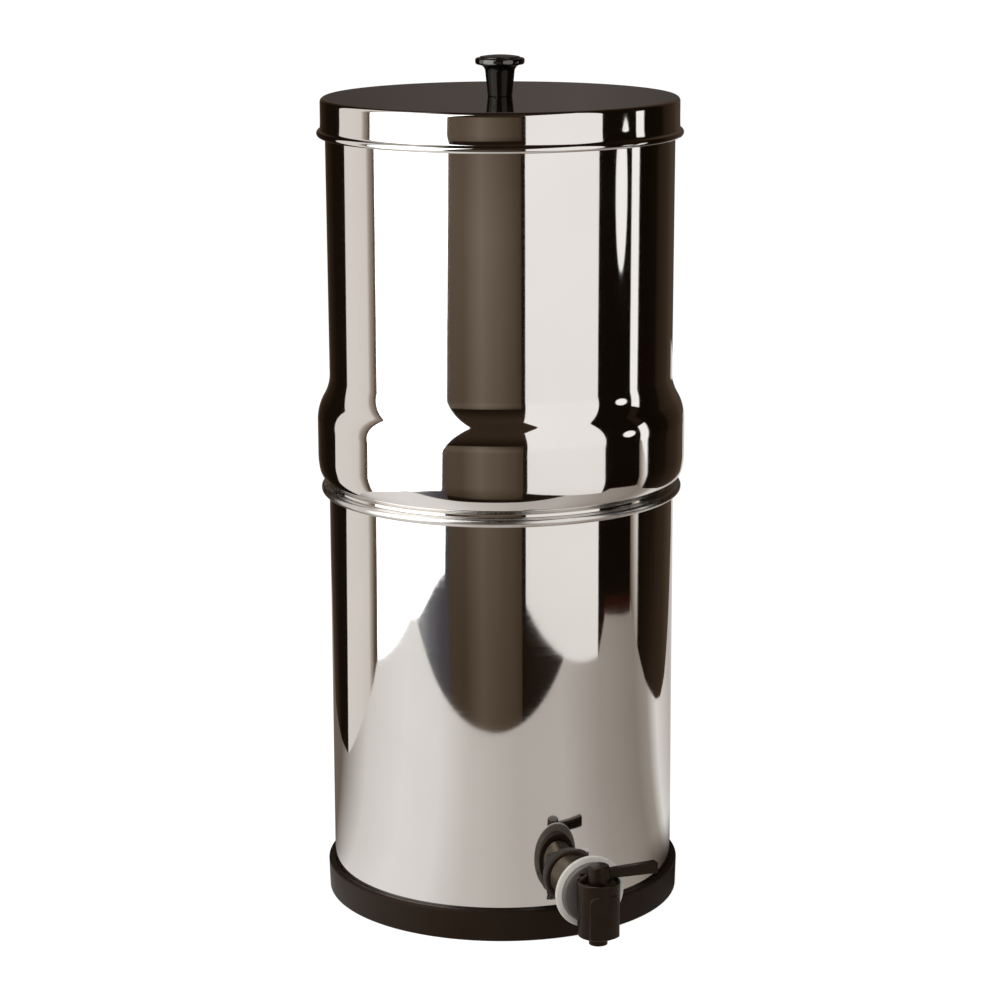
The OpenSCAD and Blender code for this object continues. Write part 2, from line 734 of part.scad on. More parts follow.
// The blade deepens towards its square tip and has a shallow panel in each side
module lever_blade() {
    mid_z = spout_top_z + blade_up + lever_root_h / 2;
    panel_x = hub_r + 5;
    panel_l = lever_l - panel_rim - panel_x;
    root_half = lever_root_h / 2;
    tip_half = lever_tip_h / 2;
    difference() {
        translate([0, lever_t / 2, mid_z]) rotate([90, 0, 0]) linear_extrude(lever_t)
            offset(r = lever_tip_r) offset(delta = -lever_tip_r)
                polygon([[hub_r - 2 * lap, -root_half], [lever_l, -tip_half],
                    [lever_l, tip_half], [hub_r - 2 * lap, root_half]]);
        for (side = [-1, 1])
            translate([panel_x, side * lever_t / 2, mid_z]) rotate([90, 0, 0])
                linear_extrude(2 * panel_depth, center = true)
                    polygon([[0, panel_rim - root_half], [panel_l, panel_rim - tip_half],
                        [panel_l, tip_half - panel_rim], [0, root_half - panel_rim]]);
    }
}

// ---- tap fastening ----

module tap_pale_washer() {
    color("#dcd8cf") on_tap(flange_y - pale_washer_t)
        ring(pale_washer_r, barrel_r + barrel_gap, pale_washer_t);
}

module tap_jam_nut() {
    color("#1b1816") on_tap(flange_y - pale_washer_t - jam_nut_t)
        ring(jam_nut_r, barrel_r + barrel_gap, jam_nut_t);
}

// Both wall washers follow the curve of the wall on one face and are flat on the other
module tap_outer_washer() {
    color("#2c2c2c") difference() {
        on_tap(body_r - wall_washer_t)
            ring(wall_washer_r, barrel_r + barrel_gap, wall_washer_t + outer_washer_t);
        cylinder(r = body_r, h = 2 * tap_z, $fn = 4 * $fn);
    }
}

module tap_inner_washer() {
    color("#2c2c2c") intersection() {
        on_tap(body_r - sheet - 2 * wall_washer_t)
            ring(wall_washer_r, barrel_r + barrel_gap, 3 * wall_washer_t);
        cylinder(r = body_r - sheet, h = 2 * tap_z);
    }
}

module tap_ring_nut() {
    color("#1b1816") on_tap(body_r + outer_washer_t) ring(ring_nut_r, barrel_r + barrel_gap, ring_nut_t);
}

module tap_back_nut() {
    color("#1b1816") on_tap(body_r - sheet - 2 * wall_washer_t - back_nut_t) difference() {
        cylinder(r = back_nut_af / 2 / cos(30), h = back_nut_t, $fn = 6);
        translate([0, 0, -cut]) cylinder(r = barrel_r + barrel_gap, h = back_nut_t + 2 * cut);
    }
}

base_ring();
lower_chamber();
upper_chamber();
lid_shell();
lid_knob();
lid_knob_washer();
lid_knob_screw();
at_candles(180) candle_shell();  // candle_shell_left
at_candles(0) candle_shell();  // candle_shell_right
at_candles(180) candle_core();  // candle_core_left
at_candles(0) candle_core();  // candle_core_right
at_candles(180) candle_mount();  // candle_mount_left
at_candles(0) candle_mount();  // candle_mount_right
at_candles(180) candle_seal();  // candle_seal_left
at_candles(0) candle_seal();  // candle_seal_right
at_candles(180) candle_wing_nut();  // candle_wing_nut_left
at_candles(0) candle_wing_nut();  // candle_wing_nut_right
blanking_plugs();
blanking_washers();
blanking_nuts();
tap_body();
tap_gland_ring();
tap_plug();
tap_plug_seals();
tap_lever();
tap_pale_washer();
tap_jam_nut();
tap_ring_nut();
tap_outer_washer();
tap_inner_washer();
tap_back_nut();
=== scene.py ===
import math

import bmesh
import bpy
from mathutils import Matrix, Vector

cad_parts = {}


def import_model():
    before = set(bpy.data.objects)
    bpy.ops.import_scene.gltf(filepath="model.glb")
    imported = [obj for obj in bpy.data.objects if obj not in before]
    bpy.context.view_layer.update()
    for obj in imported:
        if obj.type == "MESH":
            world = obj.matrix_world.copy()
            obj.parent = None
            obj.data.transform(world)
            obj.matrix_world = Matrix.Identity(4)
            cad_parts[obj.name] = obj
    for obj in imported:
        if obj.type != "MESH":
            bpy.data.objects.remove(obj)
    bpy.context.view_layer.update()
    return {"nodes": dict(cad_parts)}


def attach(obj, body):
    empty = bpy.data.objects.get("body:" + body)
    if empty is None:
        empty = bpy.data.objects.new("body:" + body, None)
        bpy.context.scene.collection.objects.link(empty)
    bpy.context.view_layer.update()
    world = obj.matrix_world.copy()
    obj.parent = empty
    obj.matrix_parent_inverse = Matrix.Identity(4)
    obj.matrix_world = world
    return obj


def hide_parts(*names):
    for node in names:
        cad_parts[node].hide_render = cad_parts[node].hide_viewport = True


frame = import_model()
print("frame loaded,", len(frame["nodes"]), "nodes")

mm = 0.001  # drawings are in millimetres, the scene is in metres
scene = bpy.context.scene


# small tools for node trees

def feed(node, inputs):
    # links the values that are sockets and sets the plain ones
    for key, value in inputs.items():
        if isinstance(value, bpy.types.NodeSocket):
            node.id_data.links.new(value, node.inputs[key])
        else:
            node.inputs[key].default_value = value


def put(tree, kind, inputs=None, **settings):
    node = tree.nodes.new(kind)
    for name, value in settings.items():
        setattr(node, name, value)
    feed(node, inputs or {})
    return node


def calc(operation, *values):
    # works in the tree that the first value comes from, as the other helpers below do
    return put(values[0].id_data, "ShaderNodeMath", dict(enumerate(values)), operation=operation).outputs[0]


# camera

viewPoint = {"place": (-0.66493, -1.65406, 0.6478), "yaw": -21.873, "pitch": 12.734, "roll": -0.2036,
             "lens": 107.48, "sensor": 36, "near": 0.05, "far": 60}  # degrees, metres, and mm for the lens


def addCamera():
    v = viewPoint
    data = bpy.data.cameras.new("camera")
    data.sensor_width, data.lens = v["sensor"], v["lens"]
    data.clip_start, data.clip_end = v["near"], v["far"]
    camera = bpy.data.objects.new("camera", data)
    turns = ((v["yaw"], "Z"), (90 - v["pitch"], "X"), (v["roll"], "Z"))
    yaw, tilt, roll = (Matrix.Rotation(math.radians(angle), 4, axis) for angle, axis in turns)
    camera.matrix_world = Matrix.Translation(v["place"]) @ (yaw @ tilt @ roll)
    scene.collection.objects.link(camera)
    scene.camera = camera


addCamera()
print("camera placed")


# finishes

def newFinish(name):
    finish = bpy.data.materials.new(name)
    finish.use_nodes = True
    tree = finish.node_tree
    return finish, tree.nodes["Principled BSDF"], put(tree, "ShaderNodeTexCoord").outputs["Object"]


def noise(point, scale, detail, roughness=0.5):
    return put(point.id_data, "ShaderNodeTexNoise", {
        "Vector": point, "Scale": scale, "Detail": detail, "Roughness": roughness}).outputs["Fac"]


def spread(value, low, high, fromLow=0.3, fromHigh=0.7, curve="LINEAR"):
    return put(value.id_data, "ShaderNodeMapRange", {
        "Value": value, "From Min": fromLow, "From Max": fromHigh, "To Min": low, "To Max": high},
        interpolation_type=curve).outputs["Result"]


def blendTones(fac, first, second):
    # a tone is a colour or another node's output; 6, 7 and 2 are the mix node's sockets for colours
    tones = [tone if isinstance(tone, bpy.types.NodeSocket) else (*tone, 1) for tone in (first, second)]
    return put(fac.id_data, "ShaderNodeMix", {"Factor": fac, 6: tones[0], 7: tones[1]},
               data_type="RGBA").outputs[2]


def cloudTone(clouds, look):
    return blendTones(spread(clouds, 0, 1), look["tone"], look["toneWorn"])


def bumps(height, strength, distance):
    return put(height.id_data, "ShaderNodeBump", {
        "Height": height, "Strength": strength, "Distance": distance}).outputs["Normal"]


def mixShaders(fac, first, second):
    return put(fac.id_data, "ShaderNodeMixShader", {0: fac, 1: first.outputs[0], 2: second.outputs[0]})


wheel = {"along": 20.0, "across": 900.0}  # how fast the polishing lines change, each way


def spunPoint(point):
    # follows the lines that a polishing wheel leaves round the axis: fine across them, long along them
    x, y, z = put(point.id_data, "ShaderNodeSeparateXYZ", {"Vector": point}).outputs
    radius = calc("SQRT", calc("ADD", calc("MULTIPLY", x, x), calc("MULTIPLY", y, y)))
    return put(point.id_data, "ShaderNodeCombineXYZ", {
        "X": calc("MULTIPLY", calc("ADD", radius, z), wheel["across"]),
        "Y": calc("MULTIPLY", x, wheel["along"]), "Z": calc("MULTIPLY", y, wheel["along"])}).outputs[0]


steel = {"metal": 1, "waveScale": 26, "waveHeight": 0.03, "lineHeight": 0.0002}


def steelFinish(name, changes):
    # clouded steel with fine polishing lines, and waves that bend the reflections a little
    look = {**steel, **changes}
    finish, surface, point = newFinish(name)
    clouds = noise(point, look["cloudScale"], 3)
    lines = noise(spunPoint(point), 1.0, 2)
    waves = noise(point, look["waveScale"], 1)
    height = calc("ADD", calc("MULTIPLY", waves, look["waveHeight"]),
                  calc("MULTIPLY", lines, look["lineHeight"]))
    feed(surface, {
        "Metallic": look["metal"], "Base Color": cloudTone(clouds, look),
        "Roughness": calc("ADD", spread(lines, *look["gloss"]), spread(clouds, 0, look["smudge"])),
        "Normal": bumps(height, 1.0, 0.001)})
    return finish


polished = steelFinish("polished steel", {
    "tone": (0.80, 0.785, 0.765), "toneWorn": (0.775, 0.76, 0.74), "cloudScale": 22,
    "gloss": (0.025, 0.045), "smudge": 0.02})
rolled = steelFinish("rolled steel edge", {
    "tone": (0.72, 0.70, 0.675), "toneWorn": (0.67, 0.65, 0.625), "cloudScale": 60,
    "gloss": (0.19, 0.25), "smudge": 0.04, "waveHeight": 0.02})
satin = steelFinish("satin steel inside", {
    "tone": (0.72, 0.71, 0.70), "toneWorn": (0.66, 0.65, 0.64), "cloudScale": 30,
    "gloss": (0.16, 0.28), "smudge": 0.06, "metal": 0.7, "waveScale": 30, "lineHeight": 0.002})
screwSteel = steelFinish("screw steel", {
    "tone": (0.62, 0.61, 0.60), "toneWorn": (0.52, 0.51, 0.50), "cloudScale": 300,
    "gloss": (0.2, 0.32), "smudge": 0.08, "waveScale": 200, "waveHeight": 0.01, "lineHeight": 0.002})

plastic = {"cloudScale": 130, "grainScale": 2600, "grainGloss": 0.04, "grainStrength": 0.35,
           "grainHeight": 0.00004, "shine": 0.5, "shineTone": (1, 1, 1), "coat": 0, "coatGloss": 0.05,
           "depth": 0, "depthScale": 0.002}  # what moulded finishes share


def mouldedFinish(name, changes):
    # plastics and rubbers: a cloudy tone, a fine grain and worn-smooth patches
    look = {**plastic, **changes}
    finish, surface, point = newFinish(name)
    clouds = noise(point, look["cloudScale"], 4)
    grain = noise(point, look["grainScale"], 3, 0.6)
    feed(surface, {
        "Base Color": cloudTone(clouds, look),
        "Roughness": calc("ADD", spread(clouds, *look["gloss"]),
                          spread(grain, -look["grainGloss"], look["grainGloss"])),
        "Specular IOR Level": look["shine"], "Specular Tint": (*look["shineTone"], 1),
        "Coat Weight": look["coat"], "Coat Roughness": look["coatGloss"],
        "Subsurface Weight": look["depth"], "Subsurface Scale": look["depthScale"],
        "Normal": bumps(grain, look["grainStrength"], look["grainHeight"])})
    return finish


glossBlack = {"tone": (0.0020, 0.0018, 0.0015), "toneWorn": (0.0034, 0.0030, 0.0026), "cloudScale": 90,
              "grainScale": 1500, "grainGloss": 0.01, "grainStrength": 0.15, "grainHeight": 0.00003}
rubberGrain = {"cloudScale": 120, "grainScale": 1300, "grainGloss": 0.05, "grainStrength": 0.3,
               "grainHeight": 0.00005}
knobBlack = mouldedFinish("gloss black knob", {
    **glossBlack, "gloss": (0.07, 0.12), "shine": 1.0, "coat": 1.0})
stemBlack = mouldedFinish("gloss black stem", {
    **glossBlack, "gloss": (0.10, 0.16), "shine": 0.2, "shineTone": (1, 0.9, 0.82)})
tapBlack = mouldedFinish("satin tap plastic", {
    "tone": (0.0040, 0.0022, 0.0013), "toneWorn": (0.0060, 0.0036, 0.0023), "gloss": (0.26, 0.34),
    "shine": 0.26, "shineTone": (1, 0.72, 0.54)})
# the tap's black plastic painted grey on the flange's face, for the sheen it shows: painted highlight
flangeSheenGrey = mouldedFinish("flange face, painted sheen", {
    "tone": (0.072, 0.063, 0.057), "toneWorn": (0.084, 0.074, 0.067), "gloss": (0.34, 0.44), "shine": 0.4})
# a lighter, browner copy of the tap plastic for the barrel: partly its own tone, partly painted light for the
# light its top catches
barrelLitBrown = mouldedFinish("threaded barrel plastic, partly painted light", {
    "tone": (0.012, 0.0088, 0.0060), "toneWorn": (0.019, 0.0145, 0.010), "cloudScale": 150,
    "grainScale": 2400, "gloss": (0.24, 0.34), "shineTone": (1, 0.8, 0.6)})
nutBlack = mouldedFinish("dark nut plastic", {
    "tone": (0.010, 0.0068, 0.0048), "toneWorn": (0.016, 0.0115, 0.0085), "cloudScale": 150,
    "grainScale": 2400, "gloss": (0.36, 0.5), "shine": 0.28, "shineTone": (1, 0.76, 0.55)})
footBlack = mouldedFinish("matt foot rubber", {
    "tone": (0.0058, 0.0034, 0.0021), "toneWorn": (0.0088, 0.0056, 0.0037), "cloudScale": 26,
    "grainScale": 1500, "gloss": (0.46, 0.58), "grainGloss": 0.05, "grainStrength": 0.5,
    "grainHeight": 0.00008, "shine": 0.22, "shineTone": (1, 0.7, 0.5)})
darkRubber = mouldedFinish("dark rubber", {
    "tone": (0.026, 0.026, 0.027), "toneWorn": (0.040, 0.040, 0.041), "cloudScale": 140, "grainScale": 1800,
    "gloss": (0.55, 0.7), "grainGloss": 0.05, "grainStrength": 0.4, "grainHeight": 0.00006})
paleSilicone = mouldedFinish("pale silicone", {
    **rubberGrain, "tone": (0.475, 0.467, 0.442), "toneWorn": (0.42, 0.41, 0.385), "gloss": (0.42, 0.55),
    "depth": 0.25})
# the pale silicone in a darker grey for the washer's back that faces the chamber: painted shade, the same
# silicone
paleWasherShadedBack = mouldedFinish("pale washer back, painted shade", {
    **rubberGrain, "tone": (0.21, 0.185, 0.165), "toneWorn": (0.17, 0.15, 0.13), "gloss": (0.5, 0.62)})
whitePlastic = mouldedFinish("white plastic", {
    "tone": (0.78, 0.78, 0.75), "toneWorn": (0.72, 0.715, 0.68), "cloudScale": 60, "grainScale": 1600,
    "gloss": (0.3, 0.4), "grainStrength": 0.25, "depth": 0.1})


def pouredFinish(name, look):
    # fired clay and pressed carbon: a gritty body with open pores
    finish, surface, point = newFinish(name)
    clouds = noise(point, look["cloudScale"], 5)
    pores = put(point.id_data, "ShaderNodeTexVoronoi", {"Vector": point, "Scale": look["poreScale"]})
    solid = spread(pores.outputs["Distance"], 0, 1, 0.05, 0.35)  # 0 inside a pore, where the body takes a darker tone: painted shade in the pores
    grit = calc("ADD", solid, noise(point, look["grainScale"], 4))
    feed(surface, {
        "Base Color": blendTones(solid, look["tonePoreShade"], cloudTone(clouds, look)),
        "Roughness": spread(clouds, *look["gloss"]),
        "Normal": bumps(grit, look["grainStrength"], look["grainHeight"])})
    return finish


candleClay = pouredFinish("candle ceramic", {
    "tone": (0.80, 0.765, 0.69), "toneWorn": (0.74, 0.70, 0.62), "tonePoreShade": (0.62, 0.58, 0.50),
    "cloudScale": 45, "poreScale": 1100, "grainScale": 2400, "gloss": (0.75, 0.9), "grainStrength": 0.4,
    "grainHeight": 0.00008})
carbonBlock = pouredFinish("pressed carbon", {
    "tone": (0.022, 0.022, 0.022), "toneWorn": (0.034, 0.033, 0.032), "tonePoreShade": (0.010, 0.010, 0.010),
    "cloudScale": 80, "poreScale": 900, "grainScale": 1500, "gloss": (0.7, 0.9), "grainStrength": 0.5,
    "grainHeight": 0.0001})
print("finishes made")


# drawing of half profiles, as (radius, height) in millimetres

def arc(centre, radius, start, end, step=5.0):
    count = max(2, math.ceil(abs(end - start) / step))
    turns = [math.radians(start + (end - start) * i / count) for i in range(count + 1)]
    return [(centre[0] + radius * math.cos(t), centre[1] + radius * math.sin(t)) for t in turns]


edgeShare = 0.48  # how much of a straight one fillet may take


def rounded(corners, step=15.0):
    # closed outline from (radius, height, fillet) corners
    outline = []
    for i, (x, y, fillet) in enumerate(corners):
        here = Vector((x, y))
        back = Vector(corners[i - 1][:2]) - here
        ahead = Vector(corners[(i + 1) % len(corners)][:2]) - here
        if not fillet:
            outline.append((x, y))
            continue
        angle = back.angle(ahead)
        reach = min(fillet / math.tan(angle / 2), edgeShare * back.length, edgeShare * ahead.length)
        radius = reach * math.tan(angle / 2)
        back, ahead = back.normalized(), ahead.normalized()
        centre = here + (back + ahead).normalized() * radius / math.sin(angle / 2)
        spokeA, spokeB = here + back * reach - centre, here + ahead * reach - centre
        count = max(2, math.ceil(math.degrees(spokeA.angle(spokeB)) / step))
        for k in range(count + 1):
            outline.append(tuple(centre + Vector(spokeA.to_3d().slerp(spokeB.to_3d(), k / count).to_2d())))
    return outline


def stiffened(outline, closed, gap=0.3, longest=2.0):
    # extra points near the ends of long straights keep the shading of the straights true
    result = []
    pairs = len(outline) if closed else len(outline) - 1
    for i in range(pairs):
        a, b = Vector(outline[i]), Vector(outline[(i + 1) % len(outline)])
        result.append(tuple(a))
        if (b - a).length > longest:
            step = (b - a).normalized() * gap
            result += [tuple(a + step), tuple(b - step)]
    if not closed:
        result.append(tuple(outline[-1]))
    return result


# geometry nodes: everything round is turned from a profile by this one tree

threadCurve = 1.4  # above 1 it softens the crests of a thread


def turningTree():
    tree = bpy.data.node_groups.new("turned piece", "GeometryNodeTree")
    for name, kind in (("Profile", "Geometry"), ("Steps", "Int"), ("Pitch", "Float"),
                       ("Thread Depth", "Float"), ("Finish", "Material")):
        tree.interface.new_socket(name, in_out="INPUT", socket_type="NodeSocket" + kind)
    tree.interface.new_socket("Geometry", in_out="OUTPUT", socket_type="NodeSocketGeometry")
    given = put(tree, "NodeGroupInput").outputs
    profile, steps = given["Profile"], given["Steps"]
    rows = put(tree, "GeometryNodeAttributeDomainSize", {"Geometry": profile}).outputs["Point Count"]
    columns = calc("ADD", steps, 1.0)
    grid = put(tree, "GeometryNodeMeshGrid", {"Vertices X": columns, "Vertices Y": rows}).outputs["Mesh"]
    index = put(tree, "GeometryNodeInputIndex").outputs["Index"]
    row = calc("FLOORED_MODULO", index, rows)
    column = calc("FLOOR", calc("DIVIDE", calc("ADD", index, 0.5), rows))

    def sampled(value, kind):
        # what the profile holds at the point of this row
        return put(tree, "GeometryNodeSampleIndex", {"Geometry": profile, "Value": value, "Index": row},
                   data_type=kind).outputs["Value"]

    place = put(tree, "GeometryNodeInputPosition").outputs["Position"]
    mark = put(tree, "GeometryNodeInputNamedAttribute", {"Name": "threaded"},
               data_type="FLOAT").outputs["Attribute"]
    parts = put(tree, "ShaderNodeSeparateXYZ", {"Vector": sampled(place, "FLOAT_VECTOR")}).outputs
    turn = calc("DIVIDE", column, steps)
    angle = calc("MULTIPLY", turn, math.tau)
    # a thread is a wave that climbs one pitch each turn
    climb = calc("SUBTRACT", calc("DIVIDE", parts["Z"], given["Pitch"]), turn)
    wave = calc("ABSOLUTE", calc("SINE", calc("MULTIPLY", climb, math.pi)))
    thread = calc("MULTIPLY", calc("POWER", wave, threadCurve), given["Thread Depth"])
    radius = calc("SUBTRACT", parts["X"], calc("MULTIPLY", thread, sampled(mark, "FLOAT")))
    spot = put(tree, "ShaderNodeCombineXYZ", {
        "X": calc("MULTIPLY", radius, calc("COSINE", angle)),
        "Y": calc("MULTIPLY", radius, calc("SINE", angle)), "Z": parts["Z"]}).outputs[0]
    shape = put(tree, "GeometryNodeSetPosition", {"Geometry": grid, "Position": spot}).outputs[0]
    shape = put(tree, "GeometryNodeMergeByDistance", {"Geometry": shape, "Distance": 0.000002}).outputs[0]
    for kind in ("GeometryNodeSetShadeSmooth", "GeometryNodeRealizeInstances"):
        shape = put(tree, kind, {0: shape}).outputs[0]
    shape = put(tree, "GeometryNodeSetMaterial", {0: shape, "Material": given["Finish"]}).outputs[0]
    put(tree, "NodeGroupOutput", {0: shape})
    return tree


turning = turningTree()


def plainMesh(piece):
    # the shape as its modifiers leave it, as a mesh of its own
    bpy.context.view_layer.update()
    shape = bpy.data.meshes.new_from_object(piece.evaluated_get(bpy.context.evaluated_depsgraph_get()))
    piece.modifiers.clear()
    old = piece.data
    piece.data = shape
    bpy.data.meshes.remove(old)
    return shape


def outward(piece):
    shape = bmesh.new()
    shape.from_mesh(piece.data)
    if shape.calc_volume(signed=True) < 0:
        bmesh.ops.reverse_faces(shape, faces=shape.faces)
    shape.to_mesh(piece.data)
    shape.free()


def newPiece(name):
    piece = bpy.data.objects.new(name, bpy.data.meshes.new(name))
    scene.collection.objects.link(piece)
    return piece


noThread = {"pitch": 1.0, "depth": 0.0, "low": 0.0, "high": 0.0, "inner": 0.0}


def turned(name, outline, finish, steps=96, closed=False, place=None, thread=noThread):
    if closed:
        outline = outline + outline[:1]
    piece = newPiece(name)
    edges = [(i, i + 1) for i in range(len(outline) - 1)]
    piece.data.from_pydata([(r * mm, 0, z * mm) for r, z in outline], edges, [])
    threaded = piece.data.attributes.new("threaded", "FLOAT", "POINT").data
    for mark, (r, z) in zip(threaded, outline):
        # the thread fades in and out over one pitch
        fade = min(1.0, (z - thread["low"]) / thread["pitch"], (thread["high"] - z) / thread["pitch"])
        mark.value = max(0.0, fade) if r > thread["inner"] else 0.0
    modifier = piece.modifiers.new("turning", "NODES")
    modifier.node_group = turning
    sockets = {item.name: item.identifier for item in turning.interface.items_tree if item.in_out == "INPUT"}
    for key, value in (("Steps", steps), ("Pitch", thread["pitch"] * mm),
                       ("Thread Depth", thread["depth"] * mm), ("Finish", finish)):
        modifier[sockets[key]] = value
    shape = plainMesh(piece)
    if place:
        shape.transform(place)
    outward(piece)
    return piece


def carve(piece, cutter, operation="DIFFERENCE"):
    cut = piece.modifiers.new("cut", "BOOLEAN")
    cut.operation, cut.solver, cut.object = operation, "EXACT", cutter
    plainMesh(piece)
    bpy.data.objects.remove(cutter)
    return piece


def joined(pieces):
    # one mesh from several, in the first one's object
    shape = bmesh.new()
    for piece in pieces:
        shape.from_mesh(piece.data)
    shape.to_mesh(pieces[0].data)
    shape.free()
    for piece in pieces[1:]:
        bpy.data.objects.remove(piece)
    return pieces[0]


def shaped(name, shape):
    # a mesh that was drawn face by face, as a piece of its own
    bmesh.ops.recalc_face_normals(shape, faces=shape.faces)
    piece = newPiece(name)
    shape.to_mesh(piece.data)
    shape.free()
    return piece


def prism(name, outline, near, far):
    # an (x, z) outline drawn through from one y to the other
    shape = bmesh.new()
    front, back = [[shape.verts.new((x * mm, y * mm, z * mm)) for x, z in outline] for y in (near, far)]
    shape.faces.new(front)
    shape.faces.new(back[::-1])
    for i in range(len(outline)):
        k = (i + 1) % len(outline)
        shape.faces.new((front[k], front[i], back[i], back[k]))
    return shaped(name, shape)


def softened(piece, width, segments):
    edge = piece.modifiers.new("edge", "BEVEL")
    edge.width, edge.segments, edge.limit_method = width * mm, segments, "ANGLE"
    plainMesh(piece)
    return piece


def moulded(piece, voxel, passes):
    # melts overlapping shapes into one skin with soft inner corners
    skin = piece.modifiers.new("skin", "REMESH")
    skin.mode, skin.voxel_size, skin.use_smooth_shade = "VOXEL", voxel * mm, True
    soft = piece.modifiers.new("soft", "SMOOTH")
    soft.factor, soft.iterations = 0.5, passes
    shape = plainMesh(piece)
    shape.materials.clear()
    shape.materials.append(tapBlack)
    return piece


def onTap(reach, z):
    # the tap's own axis: local Z runs out along -Y
    return Matrix.Translation((0, -reach * mm, z * mm)) @ Matrix.Rotation(math.radians(90), 4, "X")


def upright(x, y, z):
    return Matrix.Translation((x * mm, y * mm, z * mm))


def rod(radius, long, steps, place):
    # a plain cylinder, for cutting
    return turned("cutter", [(0, 0), (radius, 0), (radius, long), (0, long)], polished, steps, place=place)


def finished(piece, body, slot, *nodes):
    piece.data.name = piece.name
    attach(piece, body)
    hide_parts(*nodes)


def secondFinish(piece, finish, belongs):
    # the faces that the test picks, by their place and their normal, take another finish
    piece.data.materials.append(finish)
    for face in piece.data.polygons:
        if belongs(face.center / mm, face.normal):
            face.material_index = len(piece.data.materials) - 1


def twoSided(piece, inside, isInner):
    # the inner faces of a shell take their own finish
    def belongs(spot, normal):
        flat = Vector((spot.x, spot.y, 0))
        lean = normal.dot(flat.normalized()) if flat.length > 1e-3 else 0
        return isInner(flat.length, spot.z, lean, normal.z)

    secondFinish(piece, inside, belongs)


# chambers and foot

stack = {"bodyR": 104.8, "sheet": 0.8, "seatZ": 257.7, "topZ": 490.2, "steps": 288}
foot = {"floor": 4.0, "high": 19.1, "outer": 108.8, "bore": 89.5, "draft": 0.5, "topRound": 1.6,
        "lowRound": 1.0, "gap": 0.05, "corner": 5.0, "chamfer": 0.3, "boreChamfer": 0.4, "boreLow": 0.8}
# ringZ and floorR put extra rings on both sides of the tap's hole and of the stem holes
lower = {"panelR": 84.0, "panelRise": 4.0, "panelRound": 2.9, "corner": 5.0, "rollR": 2.6,
         "rollC": (106.9, 255.3), "holeR": 13.3, "tapZ": 38.4, "ringZ": (23.0, 54.0)}
upper = {"nestZ": 247.7, "nestR": 103.6, "nestCorner": 3.0, "neckR": 105.6, "bulgeR": 111.3,
         "bulgeCorner": 13.5, "bulgeCornerZ": 270.6, "sideR": 50.0, "sideTurn": 9.3, "bulgeTopZ": 297.1,
         "ogeeR": 28.0, "wallLowR": 103.7, "wallTopR": 104.4, "rollR": 1.8, "rollC": (104.2, 488.25),
         "stemR": 6.15, "ring": 52.0, "floorR": (0, 38, 66)}


def footRing():
    low, top, out, bore = foot["lowRound"], foot["topRound"], foot["outer"], foot["bore"]
    floorZ, seatR = foot["floor"], stack["bodyR"] + foot["gap"]
    corner = (stack["bodyR"] - foot["corner"], floorZ + foot["corner"] + foot["gap"])
    outline = ([(bore + foot["boreLow"], 0)] + arc((out - foot["draft"] - low, low), low, -90, 0, 9)
               + arc((out - top, foot["high"] - top), top, 0, 90, 6)
               + [(seatR + foot["chamfer"], foot["high"]), (seatR, foot["high"] - foot["chamfer"])]
               + arc(corner, foot["corner"] + foot["gap"], 0, -90, 9)
               + [(bore + foot["boreChamfer"], floorZ), (bore, floorZ - foot["boreChamfer"]),
                  (bore, foot["boreLow"])])
    piece = turned("foot_ring", stiffened(outline, True), footBlack, stack["steps"], closed=True)
    finished(piece, "stand", "foot_black", "base_ring")


def lowerFloor(lift):
    # a raised panel with a ramp of 45 degrees round it
    lean = lift * math.tan(math.radians(22.5))
    z, panelR, rise, soft = foot["floor"] + lift, lower["panelR"], lower["panelRise"], lower["panelRound"]
    return ([(0, z + rise), (panelR - 2 + lean, z + rise)]
            + arc((panelR - 1.2, z + rise - soft), soft, 65, 45, 10)
            + [(panelR + rise - 0.6 + lean, z + 0.6), (panelR + rise + 0.8 + lean, z)])


def lowerChamber():
    bodyR, sheet, corner, seatZ = stack["bodyR"], stack["sheet"], lower["corner"], stack["seatZ"]
    rollC, rollR = lower["rollC"], lower["rollR"]
    bend = (bodyR - corner, foot["floor"] + corner)
    meet = math.degrees(math.acos((bodyR - rollC[0]) / rollR))
    lip = math.degrees(math.asin((seatZ - rollC[1]) / rollR))
    outside = (lowerFloor(0) + arc(bend, corner, -90, 0, 6) + [(bodyR, z) for z in lower["ringZ"]]
               + arc(rollC, rollR, -meet, 180 - lip, 5))
    inside = (lowerFloor(sheet) + arc(bend, corner - sheet, -90, 0, 9)
              + [(bodyR - sheet, z) for z in (*lower["ringZ"], seatZ - 0.4)]
              + [(bodyR - sheet + 0.35, seatZ)])
    piece = turned("lower_chamber_shell", stiffened(outside + inside[::-1], False), polished, stack["steps"])
    carve(piece, rod(lower["holeR"], 60, 96, onTap(70, lower["tapZ"])))
    # satin on the walls that face inward and on the floor's top, rolled on the bead
    twoSided(piece, satin, lambda r, z, lean, up: r < bodyR - 0.2 and (lean < -0.3 or (up > 0.5 and z < 40)))
    twoSided(piece, rolled, lambda r, z, lean, up: r > bodyR + 0.3 and z > rollC[1] - rollR)
    finished(piece, "stand", "polished_steel", "lower_chamber")


